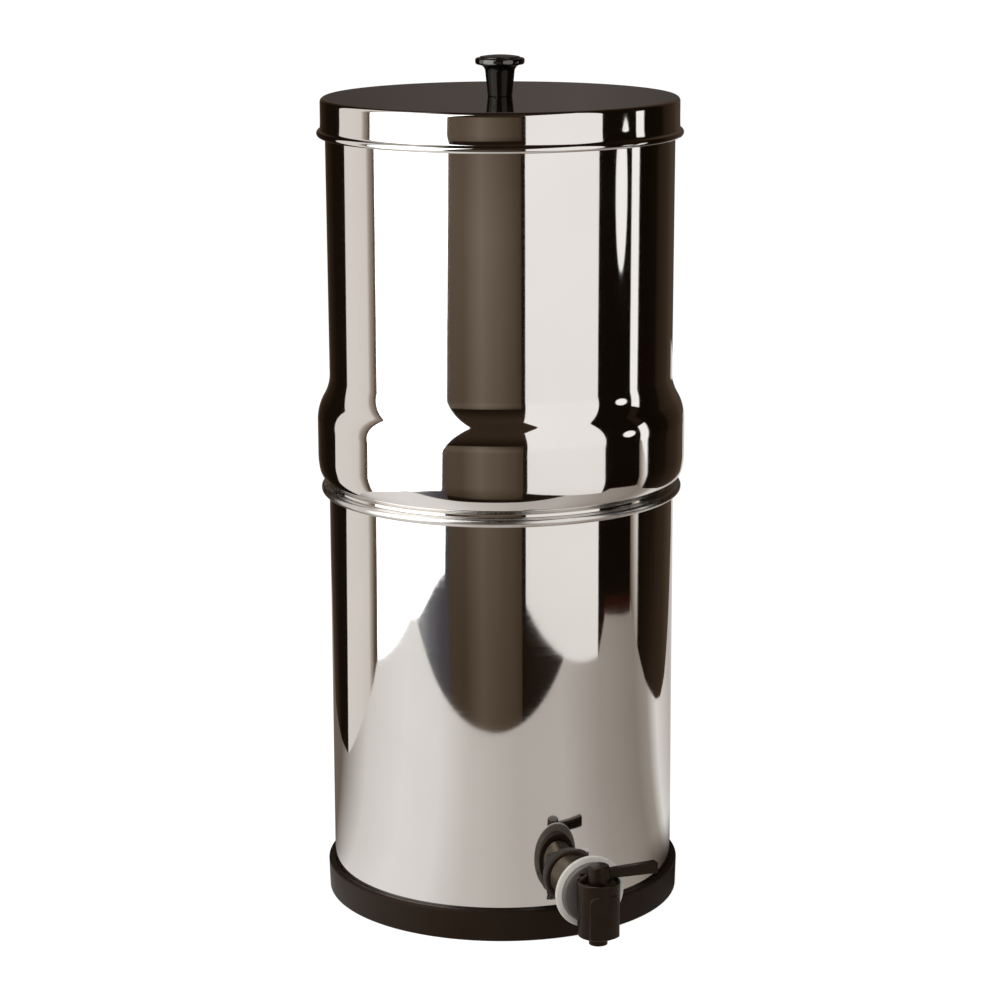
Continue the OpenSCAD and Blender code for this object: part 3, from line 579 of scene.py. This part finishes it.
def upperOutline(lift):
    # from the middle of the nest floor, out over the seat and the bulge, up to the foot of the straight wall
    u, seat = upper, stack["seatZ"]
    out, gentle, ogee, nest = u["bulgeR"], u["bulgeCorner"], u["ogeeR"], u["nestCorner"]
    swing = math.degrees(math.acos((2 * ogee - out + u["wallLowR"]) / (2 * ogee)))
    high = u["bulgeTopZ"] + 2 * ogee * math.sin(math.radians(swing))
    side, turn = u["sideR"], math.radians(u["sideTurn"])
    cornerR = out - side + (side - gentle) * math.cos(turn)
    sideZ = u["bulgeCornerZ"] + (side - gentle) * math.sin(turn)
    shoulder = math.degrees(math.acos((u["neckR"] - lift - cornerR) / (gentle - lift)))
    floor = [(r, u["nestZ"] + lift) for r in u["floorR"]]
    return (floor + arc((u["nestR"] - nest, u["nestZ"] + nest), nest - lift, -90, 0, 9)
            + [(u["nestR"] - lift, seat + lift - 0.3), (u["nestR"] - lift + 0.3, seat + lift),
               (u["neckR"] - lift - 0.2, seat + lift), (u["neckR"] - lift, seat + lift + 0.2)]
            + arc((cornerR, u["bulgeCornerZ"]), gentle - lift, -shoulder, -u["sideTurn"], 2.5)
            + arc((out - side, sideZ), side - lift, -u["sideTurn"], 0, 1.2)[1:]
            + arc((out - ogee, u["bulgeTopZ"]), ogee - lift, 0, swing, 1.5)
            + arc((u["wallLowR"] + ogee, high), ogee + lift, 180 + swing, 180, 1.5)[1:])


def upperChamber():
    u, sheet = upper, stack["sheet"]
    meet = math.degrees(math.acos((u["wallTopR"] - u["rollC"][0]) / u["rollR"]))
    outside = upperOutline(0) + arc(u["rollC"], u["rollR"], -meet, 100, 8)
    inside = upperOutline(sheet) + [(u["wallTopR"] - sheet, stack["topZ"] - 0.4),
                                    (u["wallTopR"] - sheet + 0.3, stack["topZ"] - 0.1)]
    piece = turned("upper_chamber_shell", stiffened(outside + inside[::-1], False), polished, stack["steps"])
    holes = []
    for k in range(4):
        turn = k * math.pi / 2
        spot = upright(u["ring"] * math.cos(turn), u["ring"] * math.sin(turn), u["nestZ"] - 1)
        holes.append(rod(u["stemR"], 3, 64, spot))
    carve(piece, joined(holes))
    twoSided(piece, satin, lambda r, z, lean, up: (
        r < 110.6 and (lean < -0.25 or (up > 0.5 and r < 104.8 and z < 262))))
    finished(piece, "upper", "polished_steel", "upper_chamber")


footRing()
lowerChamber()
upperChamber()
print("chambers and foot made")


# lid

lid = {"inR": 106.3, "outR": 107.1, "topZ": 491.0, "innerZ": 490.2, "bend": 2.6, "rollR": 2.1,
       "rollC": (107.3, 470.1), "flareR": 57.0, "flareFrom": 477.9, "screwHole": 2.65}
knob = {"foot": 7.3, "neck": 8.7, "disc": 14.7, "discZ": 18.7, "discT": 3.9, "crown": 12.0, "crownSide": 0.8,
        "crownEdge": 0.6, "high": 24.4, "bend": 4.5, "lowEdge": 1.5, "topEdge": 1.2, "screwR": 2.5,
        "screwL": 12.0, "baseZ": 491.0}


def lidShell():
    out, inner, hole, bend, topZ = lid["outR"], lid["inR"], lid["screwHole"], lid["bend"], lid["topZ"]
    rollC, rollR, flareR = lid["rollC"], lid["rollR"], lid["flareR"]
    turn = math.degrees(math.asin((lid["flareFrom"] - rollC[1] - rollR) / flareR))
    flare = arc((out + flareR, lid["flareFrom"]), flareR, 180, 180 + turn, 1)
    start = math.degrees(math.acos((flare[-1][0] - rollC[0]) / rollR))
    end = -math.degrees(math.acos((inner - rollC[0]) / rollR))
    outline = ([(hole, topZ)] + arc((out - bend, topZ - bend), bend, 90, 0, 5) + flare
               + arc(rollC, rollR, start, end, 5)
               + arc((out - bend, topZ - bend), bend - stack["sheet"], 0, 90, 9) + [(hole, lid["innerZ"])])
    piece = turned("lid_cover", stiffened(outline, True), polished, stack["steps"], closed=True)
    twoSided(piece, satin, lambda r, z, lean, up: (
        r < inner + 0.1 and z < lid["innerZ"] + 0.1 and (lean < -0.3 or up < -0.5)))
    finished(piece, "lid", "polished_steel", "lid_shell")


def lidKnob():
    k = knob
    discTop, crownEdge = k["discZ"] + k["discT"], k["crownEdge"]
    edge = arc((k["crown"] - crownEdge, discTop + k["crownSide"] - crownEdge), crownEdge, 0, 78, 13)
    edgeR, rise = edge[-1][0], k["high"] - edge[-1][1]
    ball = (edgeR ** 2 + rise ** 2) / (2 * rise)
    start = math.degrees(math.acos(edgeR / ball))
    outline = (
        [(k["screwR"], 0.0), (k["foot"] - 0.3, 0.0), (k["foot"], 0.3)]
        + arc((k["neck"] + k["bend"], k["discZ"] - k["bend"]), k["bend"], 180, 90, 6)
        + arc((k["disc"] - k["lowEdge"], k["discZ"] + k["lowEdge"]), k["lowEdge"], -90, 0, 9)
        + arc((k["disc"] - k["topEdge"], discTop - k["topEdge"]), k["topEdge"], 0, 90, 9)
        + [(k["crown"] + 0.3, discTop + 0.02), (k["crown"], discTop + 0.25)] + edge
        + arc((0, k["high"] - ball), ball, start, 90, 2)[1:]
        + [(0, k["screwL"]), (k["screwR"], k["screwL"])])
    piece = turned("knob", stiffened(outline, False) + [(k["screwR"], 0.0)], knobBlack, 128,
                   place=upright(0, 0, k["baseZ"]))
    secondFinish(piece, stemBlack, lambda spot, normal: spot.z < k["baseZ"] + k["discZ"] - 0.6)
    finished(piece, "lid", "knob_black", "lid_knob")


lidShell()
lidKnob()
print("lid made")


# tap

tap = {"axisZ": 38.4, "out": 149.3, "spoutR": 12.6, "lowR": 13.2, "topZ": 49.4, "lowZ": 14.9, "cupR": 11.2,
       "cupZ": 47.8, "glandZ": 45.2, "glandR": 10.2, "boreR": 8.55, "floorZ": 17.9, "journal": 6.05,
       "flangeBack": 11.4, "flangeR": 17.9, "flangeT": 3.0, "padW": 18.6, "padH": 28.2, "padFoot": 2.0,
       "padR": 13.47, "padCorner": 4.5, "padEdge": 0.8, "barrelR": 13.2, "barrelBore": 8.4,
       "barrelFrom": 79.0, "pitch": 2.2, "threadDepth": 0.55, "hubR": 6.5, "edge": 0.35,
       "lugs": ((305, 0.3, 0.3), (169, 4.4, 1.2)), "lugHalf": 9}  # angle, inner and outer rise
flangeY = tap["out"] - tap["flangeBack"]


def onSpout(name, outline, steps=96):
    # a solid that is turned about the spout's own axis
    return turned(name, outline, tapBlack, steps, place=upright(0, -tap["out"], 0))


def archPad():
    # the arch-topped pad: a prism that wraps the spout's front
    t = tap
    half, low, top, corner = t["padW"] / 2, t["lowZ"] + t["padFoot"], t["lowZ"] + t["padH"], t["padCorner"]
    arch = ([(half, low)] + arc((half - corner, top - corner), corner, 0, 90, 9)
            + arc((corner - half, top - corner), corner, 90, 180, 9) + [(-half, low)])
    pad = prism("pad", arch, -(t["out"] + 16), -(t["out"] + 4))
    wrap = onSpout("wrap", [(0, low), (t["padR"], low), (t["padR"], t["topZ"]), (0, t["topZ"])], 120)
    return softened(carve(pad, wrap, "INTERSECT"), t["padEdge"], 3)


def cutSolid(low, high):
    # a plain block between two corners, for cutting
    shape = bmesh.new()
    bmesh.ops.create_cube(shape, size=1)
    spot = (Vector(low) + Vector(high)) / 2 * mm
    size = (Vector(high) - Vector(low)) * mm
    shape.transform(Matrix.Translation(spot) @ Matrix.Diagonal((*size, 1)))
    return shaped("block", shape)


def ringSlice(name, inner, outer, low, high, middle, half, outerHigh=None):
    # part of a ring round the spout's axis, for stops and lugs; its top may slope down to the outside
    shape = bmesh.new()
    turns = [math.radians(middle - half + 2 * half * i / 8) for i in range(9)]
    corners = ((inner, low), (outer, low), (outer, outerHigh or high), (inner, high))
    rows = [[shape.verts.new((r * math.cos(t) * mm, (-tap["out"] + r * math.sin(t)) * mm, z * mm))
             for t in turns] for r, z in corners]
    for a in range(4):
        for i in range(8):
            shape.faces.new((rows[a][i], rows[a][i + 1], rows[(a + 1) % 4][i + 1], rows[(a + 1) % 4][i]))
    shape.faces.new([row[0] for row in rows])
    shape.faces.new([row[-1] for row in rows][::-1])
    return shaped(name, shape)


def tapSpout():
    t = tap
    low, top, cup, bore, gland = t["lowZ"], t["topZ"], t["cupR"], t["boreR"], t["glandR"]
    rim = rounded([(0, 0, 0), (t["flangeR"], 0, 0.5), (t["flangeR"], t["flangeT"], 0.9),
                   (0, t["flangeT"], 0)])
    disc = turned("disc", stiffened(rim, False), tapBlack, place=onTap(flangeY, t["axisZ"]))
    side = rounded([(0, low, 0), (t["lowR"], low, 2.0), (t["spoutR"], top, 0.8), (0, top, 0)])
    body = onSpout("tap_spout_shell", stiffened(side[:-1] + [(0, top)], False))
    # nothing of the spout stands behind the flange
    carve(body, cutSolid((-30, -flangeY - 0.01, 0), (30, -flangeY + 20, 80)))
    moulded(joined([body, archPad(), disc]), 0.22, 2)
    hollow = [(0, low - 2), (t["journal"], low - 2), (t["journal"], t["floorZ"]), (bore, t["floorZ"]),
              (bore, t["glandZ"]), (gland, t["glandZ"]), (gland, t["cupZ"]), (cup, t["cupZ"]),
              (cup, top - 0.5), (cup + 0.3, top - 0.1), (cup + 0.6, top + 2), (0, top + 2)]
    carve(body, onSpout("cutter", hollow))
    lugs = [ringSlice("lug", t["hubR"] + 0.4, cup + 0.2, t["cupZ"] - 0.3, top + rise, angle, t["lugHalf"],
                      top + outerRise) for angle, rise, outerRise in t["lugs"]]
    joined([body] + [softened(lug, t["edge"], 3) for lug in lugs])
    for face in body.data.polygons:
        face.use_smooth = True
        face.material_index = 0
    # the flange's front face takes the grey copy: painted sheen
    secondFinish(body, flangeSheenGrey, lambda spot, normal: spot.y > -flangeY - t["flangeT"] - 0.3)
    finished(body, "stand", "tap_black", "tap_body")


def tapBarrel():
    t = tap
    outer, bore, long = t["barrelR"], t["barrelBore"], flangeY - t["barrelFrom"]
    chamfer, step = 0.8, 0.2
    fine = [(outer, chamfer + step * i) for i in range(int((long - chamfer) / step))]
    outline = [(bore + 0.5, 0), (outer - chamfer, 0)] + fine + [(outer, long), (bore, long), (bore, 0.5)]
    thread = {"pitch": t["pitch"], "depth": t["threadDepth"], "low": -1, "high": long - 1.5,
              "inner": bore + 2}
    piece = turned("tap_barrel", outline, barrelLitBrown, 128, closed=True,
                   place=onTap(t["barrelFrom"], t["axisZ"]), thread=thread)
    finished(piece, "stand", "tap_black", "tap_body")


lever = {"hubLow": 48.2, "hubTop": 58.9, "hubEdge": 1.2, "long": 37.5, "thick": 4.4, "rootH": 5.4,
         "tipH": 7.9, "tipRound": 1.4, "midZ": 53.0, "panel": 0.6, "panelRim": 1.2, "panelFrom": 11.5,
         "tabR": 10.8, "tabAngle": 282, "tabHalf": 12}


def bladeSolid(start, end, rootH, tipH, sides, tipRound):
    # side outline of the blade or of its panel, as a slab
    side = rounded([(start, -rootH / 2, 0), (end, -tipH / 2, tipRound), (end, tipH / 2, tipRound),
                    (start, rootH / 2, 0)])
    return prism("blade", [(x, lever["midZ"] + z) for x, z in side], -tap["out"] - sides[0],
                 -tap["out"] + sides[1])


def tapLever():
    v, hubR = lever, tap["hubR"]
    half, rim = v["thick"] / 2, v["panelRim"]
    hub = onSpout("tap_lever_arm", rounded([(0, v["hubLow"], 0), (hubR, v["hubLow"], 0.3),
                                            (hubR, v["hubTop"], v["hubEdge"]), (0, v["hubTop"], 0)]))
    blade = bladeSolid(hubR - 2, v["long"], v["rootH"], v["tipH"], (half, half), v["tipRound"])
    for sides in ((half + 1, v["panel"] - half), (v["panel"] - half, half + 1)):
        carve(blade, bladeSolid(v["panelFrom"], v["long"] - rim, v["rootH"] - 2 * rim,
                                v["tipH"] - 2 * rim, sides, 0))
    tab = ringSlice("tab", hubR - 1, v["tabR"], v["hubLow"], tap["topZ"] + 0.3, v["tabAngle"], v["tabHalf"])
    piece = moulded(joined([hub, softened(blade, tap["edge"], 2), tab]), 0.2, 4)
    finished(piece, "tap_handle", "tap_black", "tap_lever")


washers = {"pale": {"r": 22.0, "t": 3.0, "soft": 1.3}, "jam": {"r": 16.7, "t": 5.0, "soft": 0.6},
           "ring": {"r": 15.0, "t": 1.4, "soft": 0.4}, "outer": 1.2, "bore": 13.3, "boreEdge": 0.3}


def washerOnTap(name, reach, kind, finish, slot, node):
    bore, edge, size = washers["bore"], washers["boreEdge"], washers[kind]
    corners = [(bore, 0, edge), (size["r"], 0, size["soft"]), (size["r"], size["t"], size["soft"]),
               (bore, size["t"], edge)]
    piece = turned(name, stiffened(rounded(corners, 12), True, 0.2), finish, 144, closed=True,
                   place=onTap(reach, tap["axisZ"]))
    if finish == paleSilicone:
        # the back face, towards the chamber, takes the darker copy: painted shade
        secondFinish(piece, paleWasherShadedBack, lambda spot, normal: normal.y > 0.6)
    finished(piece, "stand", slot, node)


tapSpout()
tapBarrel()
tapLever()
paleY = flangeY - washers["pale"]["t"]
washerOnTap("pale_washer", paleY, "pale", paleSilicone, "pale_silicone", "tap_pale_washer")
washerOnTap("jam_nut", paleY - washers["jam"]["t"], "jam", nutBlack, "tap_black", "tap_jam_nut")
washerOnTap("ring_nut", stack["bodyR"] + washers["outer"], "ring", nutBlack, "tap_black", "tap_ring_nut")
print("tap made")


# CAD nodes whose shape is right keep it and take a finish

kept = [(tapBlack, ["tap_plug"]), (nutBlack, ["tap_gland_ring", "tap_back_nut"]),
        (darkRubber, ["tap_plug_seals", "tap_outer_washer", "tap_inner_washer", "candle_seal_left",
                      "candle_seal_right", "blanking_washers"]),
        (screwSteel, ["lid_knob_washer", "lid_knob_screw"]),
        (candleClay, ["candle_shell_left", "candle_shell_right"]),
        (carbonBlock, ["candle_core_left", "candle_core_right"]),
        (whitePlastic, ["candle_mount_left", "candle_mount_right", "candle_wing_nut_left",
                        "candle_wing_nut_right", "blanking_plugs", "blanking_nuts"])]
for finish, nodes in kept:
    for node in nodes:
        shape = frame["nodes"][node].data
        shape.materials.clear()
        shape.materials.append(finish)


# studio: plan places are (across, towards the camera), turned to the camera's heading

heading = math.radians(21.9)
steelShare = 0.79  # what the steel gives back of a screen's light


def planPoint(across, near, z):
    return Vector((across * math.cos(heading) - near * math.sin(heading),
                   -across * math.sin(heading) - near * math.cos(heading), z))


def linear(red, green, blue):
    # a tone as picked on screen, 0 to 255, as the shaders want it
    share = [c / 255 for c in (red, green, blue)]
    return tuple(c / 12.92 if c <= 0.04045 else ((c + 0.055) / 1.055) ** 2.4 for c in share)


def seen(tone, warmth=12.5):
    # the light that shows as this tone in the steel; a plain number is a grey, warmest at middle tones
    if not isinstance(tone, tuple):
        tint = warmth * math.sin(math.pi * (min(tone, 255) / 255) ** 0.7)
        tone = (tone, tone - tint, tone - 1.9 * tint)
    return tuple(c / steelShare for c in linear(*tone))


def newGlow(name):
    # a finish that glows by its own tree and isn't sampled as a lamp
    finish = bpy.data.materials.new(name)
    finish.use_nodes = True
    finish.cycles.emission_sampling = "NONE"
    finish.node_tree.nodes.clear()
    return finish, finish.node_tree


def litFinish():
    # gives off the tone that each corner of a screen carries
    finish, tree = newGlow("lit screen")
    tone = put(tree, "ShaderNodeAttribute", attribute_name="tone").outputs["Color"]
    light = put(tree, "ShaderNodeEmission", {"Color": tone})
    put(tree, "ShaderNodeOutputMaterial", {"Surface": light.outputs[0]})
    return finish


lit = litFinish()


def onlyReflected(piece, tones):
    shade = piece.data.attributes.new("tone", "FLOAT_COLOR", "POINT")
    for corner, tone in zip(shade.data, tones):
        corner.color = (*seen(tone), 1)
    piece.data.materials.append(lit)
    piece.visible_camera = piece.visible_diffuse = piece.visible_shadow = False
    piece.visible_transmission = piece.visible_volume_scatter = False


def post(across, near, *levels):
    return [(across, near, z, tone) for z, tone in levels]


def leaning(foot, top, *levels):
    # a post that leans from one plan place at the floor to another at its top
    high = levels[-1][0]
    return [(*(a + (b - a) * z / high for a, b in zip(foot, top)), z, tone) for z, tone in levels]


def screen(name, posts):
    # a sheet between posts, each a row of (across, near, height, tone) from its foot up
    high = len(posts[0])
    spots = [spot for row in posts for spot in row]
    faces = [(a * high + b, (a + 1) * high + b, (a + 1) * high + b + 1, a * high + b + 1)
             for a in range(len(posts) - 1) for b in range(high - 1)]
    piece = newPiece(name)
    piece.data.from_pydata([planPoint(*spot[:3]) for spot in spots], [], faces)
    onlyReflected(piece, [spot[3] for spot in spots])


white = 330
tall = ((0, white), (1.55, white))
leftEdge = [(-0.335, -0.148), (-0.50, -0.043)]  # foot and top of a leaning edge
screens = {
    "white_softbox": [leaning((-0.6585, 0.055), (-0.78, 0.133), *tall)] + [
        post(u, v, *tall) for u, v in (
            (-0.70, 0.42), (-0.66, 0.494), (-0.65, 0.592), (-0.637, 0.683), (-0.61, 0.753))] + [
        leaning((-0.579, 0.804), (-0.32, 0.926), *tall)],
    "left_screen": [leaning(*leftEdge, (0, 205), (0.3, 208), (2.2, 208))] + [
        leaning((u, v), (u - lean, v + 0.64 * lean), (0, low), (0.3, high), (2.2, high))
        for u, v, lean, low, high in (
            (-0.441, -0.085, 0.05, 204, 208), (-0.543, -0.018, 0.13, 197, 203),
            (-0.565, -0.003, 0.15, 160, 163), (-0.587, 0.012, 0.15, 128, 136),
            (-0.612, 0.025, 0.16, 80, 126), (-0.640, 0.039, 0.17, 72, 84),
            (-0.6585, 0.055, 0.1725, 68, 68))],
    "right_softbox": [post(u, v, (0, 219), (0.3, 229), (high, 230)) for u, v, high in (
        (0.228, 0.854, 0.86), (0.348, 0.689, 1.02), (0.616, 0.323, 1.3))],
    "right_dark": [post(u, v, (0, (36, 11, 4)), (0.014, (36, 11, 4)), (0.018, 14), (1.6, 16)) for u, v in (
        (0.616, 0.323), (0.762, 0.302), (0.785, 0.19), (0.801, 0.003), (1.05, 0.0))],
    "strip_light": [post(u, v, (low, 238), (0.47, 238)) for u, v, low in (
        (0.961, 0.058, 0.41), (0.929, 0.043, 0.35), (0.884, 0.022, 0.30), (0.850, 0.006, 0.23),
        (0.822, -0.007, 0.17), (0.780, -0.027, 0.15), (0.673, -0.077, 0.13))],
    "strip_foot": [post(u, v, (0, low), (0.15, high)) for u, v, low, high in (
        (0.995, 0.074, 42, 60), (0.926, 0.041, 50, 82), (0.839, 0.001, 64, 116), (0.780, -0.027, 110, 158),
        (0.728, -0.051, 142, 204), (0.673, -0.077, 144, 226))],
    "right_flag": [post(u, v, (0, low), (0.25, high), (1.6, high)) for u, v, low, high in (
        (0.683, -0.072, 18, 14), (0.557, -0.136, 30, 13), (0.470, -0.205, 43, 18), (0.445, -0.225, 44, 34),
        (0.410, -0.275, 49, 42), (0.394, -0.37, 62, 50), (0.404, -0.55, 70, 65), (0.43, -0.9, 72, 68))],
    "left_flag": [leaning(*leftEdge, (0, 20), (0.25, 20), (2.2, 34))] + [
        post(u, v, (0, low), (0.25, mid), (2.2, high)) for u, v, low, mid, high in (
            (-0.31, -0.22, 20, 20, 24), (-0.27, -0.36, 62, 40, 30), (-0.30, -0.7, 85, 62, 44),
            (-0.16, -0.9, 105, 85, 46))],
    "front_wall": [
        post(u, 1.95, (-1.6, 22), (-0.74, 24), (-0.62, foot), (-0.35, low), (0.15, mid), (0.47, top))
        for u, foot, low, mid, top in (
            (-1.32, 62, 70, 90, 82), (-0.85, 58, 66, 88, 80), (-0.42, 78, 87, 111, 96),
            (-0.01, 66, 76, 95, 71), (0.28, 60, 69, 80, 54), (0.45, 50, 60, 64, 46))],
    "front_dark": [
        post(u, 2.0, (-1.6, low), (-0.2, low), (0.1, 30), (0.6, 26), (1.4, 48), (3.0, 44)) for u, low in (
            (-3.2, (140, 140, 142)), (-2.6, (125, 125, 127)), (-2.2, (95, 95, 98)), (-1.67, (70, 66, 70)),
            (-1.3, (62, 58, 60)), (0.4, 24), (1.0, 27), (3.2, 36))],
    "back_wall": [post(u, -1.9, *((z, (tone, tone - 6, tone - 9)) for z in (-0.6, 3.0))) for u, tone in (
        (-2.2, 54), (-0.25, 58), (-0.12, 66), (0.0, 70), (0.1, 73), (0.2, 66), (2.2, 58))],
}
for name, posts in screens.items():
    screen(name, posts)


roundScreen = {"place": (0.74, 0.125, 0.357), "faces": (0, 0.05, 0.357), "radius": 0.064, "tone": 238}


def roundLamp():
    centre, radius = planPoint(*roundScreen["place"]), roundScreen["radius"]
    facing = (planPoint(*roundScreen["faces"]) - centre).to_track_quat("Z", "Y")
    turns = [math.radians(a) for a in range(0, 360, 6)]
    ring = [centre + facing @ Vector((radius * math.cos(t), radius * math.sin(t), 0)) for t in turns]
    piece = newPiece("round_lamp")
    piece.data.from_pydata(ring, [], [tuple(range(len(ring)))])
    onlyReflected(piece, [roundScreen["tone"]] * len(ring))


def room():
    # the unlit studio all round
    shape = bmesh.new()
    bmesh.ops.create_uvsphere(shape, u_segments=24, v_segments=12, radius=6)
    piece = shaped("dark_room", shape)
    onlyReflected(piece, [30] * len(piece.data.vertices))


# glowing tones of the table as the steel sees it, painted light by the angle from the camera's side in
# degrees; the fades are in radians, lengths in metres
table = {"size": 9, "edge": 0.5206, "edgeSlope": 0.077, "shadowTone": 30, "shadowFrom": 0.12, "shadowTo": 0.21,
         "rightFade": (1.2, 1.75), "leftFade": (-1.6, -2.1), "leftShadow": 0.35, "warmth": 9,
         "glow": (0.84, 0.84, 0.84, 1), "sweep": (0.30, 0.30, 0.30, 1), "plain": (0.75, 0.74, 0.73, 1),
         "tones": {-180: 205, -150: 96, -125: 98, -92: 203, -62: 217, -38: 213, -20: 190, 10: 171, 36: 173,
                   62: 147, 92: 128, 105: 145, 117: 210, 130: 190, 145: 170, 180: 205}}


def floorFinish():
    # the camera sees a white sweep; the steel sees a glowing table with painted light and a painted shadow of
    # the filter
    finish, tree = newGlow("pale floor")
    where = put(tree, "ShaderNodeTexCoord").outputs["Object"]
    plan = put(tree, "ShaderNodeMapping", {"Vector": where, "Rotation": (0, 0, heading)}, vector_type="POINT")
    x, y = put(tree, "ShaderNodeSeparateXYZ", {"Vector": plan.outputs[0]}).outputs[:2]
    angle = calc("ARCTAN2", x, calc("MULTIPLY", y, -1.0))
    ramp = put(tree, "ShaderNodeValToRGB", {"Fac": calc("ADD", calc("DIVIDE", angle, math.tau), 0.5)})
    bar = ramp.color_ramp
    while len(bar.elements) < len(table["tones"]):
        bar.elements.new(0.5)
    for element, (degrees, tone) in zip(bar.elements, sorted(table["tones"].items())):
        element.position = degrees / 360 + 0.5
        element.color = (*seen(tone, table["warmth"]), 1)
    # painted shadow of the filter on the glowing table: darker close to it, on its right side and a little on
    # its left
    radius = put(tree, "ShaderNodeVectorMath", {0: where}, operation="LENGTH").outputs["Value"]
    shadowNear = spread(radius, 0, 1, table["shadowTo"], table["shadowFrom"], "SMOOTHSTEP")
    sides = calc("MAXIMUM", spread(angle, 0, 1, *table["rightFade"], "SMOOTHSTEP"),
                 spread(angle, 0, table["leftShadow"], *table["leftFade"], "SMOOTHSTEP"))
    shade = blendTones(calc("MULTIPLY", shadowNear, sides), ramp.outputs[0], seen(table["shadowTone"]))
    mirrored = put(tree, "ShaderNodeEmission", {"Color": shade})
    sweep = put(tree, "ShaderNodeAddShader", {
        0: put(tree, "ShaderNodeEmission", {"Color": table["glow"]}).outputs[0],
        1: put(tree, "ShaderNodeBsdfDiffuse", {"Color": table["sweep"]}).outputs[0]})
    plain = put(tree, "ShaderNodeBsdfDiffuse", {"Color": table["plain"]})
    path = put(tree, "ShaderNodeLightPath").outputs
    both = mixShaders(path["Is Camera Ray"], mixShaders(path["Is Glossy Ray"], plain, mirrored), sweep)
    put(tree, "ShaderNodeOutputMaterial", {"Surface": both.outputs[0]})
    return finish


def floor():
    piece = newPiece("floor")
    far, rise = table["size"], table["size"] * table["edgeSlope"]
    corners = [planPoint(*p, 0) for p in ((-far, -far), (far, -far), (far, table["edge"] + rise),
                                          (-far, table["edge"] - rise))]
    piece.data.from_pydata(corners, [], [(0, 1, 2, 3)])
    piece.data.materials.append(floorFinish())


daylight = {"tone": (1, 0.985, 0.965, 1), "strength": 0.62}


def world():
    # camera and mirror see plain white, everything else gets soft daylight
    sky = bpy.data.worlds.new("studio")
    scene.world = sky
    sky.use_nodes = True
    tree = sky.node_tree
    tree.nodes.clear()
    path = put(tree, "ShaderNodeLightPath").outputs
    shown = calc("MAXIMUM", calc("MAXIMUM", path["Is Camera Ray"], path["Is Glossy Ray"]),
                 path["Is Transmission Ray"])
    soft = put(tree, "ShaderNodeBackground", {"Color": daylight["tone"], "Strength": daylight["strength"]})
    plain = put(tree, "ShaderNodeBackground", {"Color": (1, 1, 1, 1), "Strength": 1.0})
    put(tree, "ShaderNodeOutputWorld", {"Surface": mixShaders(shown, soft, plain).outputs[0]})


lamps = {"key": {"place": (-0.75, 0.7, 0.75), "aim": (0.05, 0, 0.15), "size": 0.7, "power": 9},
         "fill": {"place": (0.6, 0.75, 0.8), "aim": (0, 0, 0.2), "size": 0.6, "power": 4},
         "sheen": {"place": (-0.12, 0.32, 0.72), "aim": (0.056, 0.139, 0.04), "size": 0.34, "power": 2.2}}
sheenPieces = ("tap_spout_shell", "tap_barrel", "tap_lever_arm", "jam_nut", "ring_nut")
sheenNodes = ("tap_plug", "tap_gland_ring")


def lamp(name):
    look = lamps[name]
    place, aim = planPoint(*look["place"]), planPoint(*look["aim"])
    data = bpy.data.lights.new(name, "AREA")
    data.shape, data.size, data.energy = "DISK", look["size"], look["power"]
    data.color = (1, 0.985, 0.96)
    light = bpy.data.objects.new(name, data)
    turn = (aim - place).to_track_quat("-Z", "Y").to_matrix().to_4x4()
    light.matrix_world = Matrix.Translation(place) @ turn
    light.visible_glossy = light.visible_camera = False
    scene.collection.objects.link(light)
    return light


def sheenLamp():
    # a lamp whose shine shows on the tap's plastics only
    light = lamp("sheen")
    light.visible_glossy = True
    group = bpy.data.collections.new("tap plastics")
    for name in sheenPieces:
        group.objects.link(bpy.data.objects[name])
    for node in sheenNodes:
        group.objects.link(frame["nodes"][node])
    light.light_linking.receiver_collection = group


roundLamp()
room()
floor()
world()
lamp("key")
lamp("fill")
sheenLamp()
print("studio made")

scene.view_settings.view_transform = "Standard"
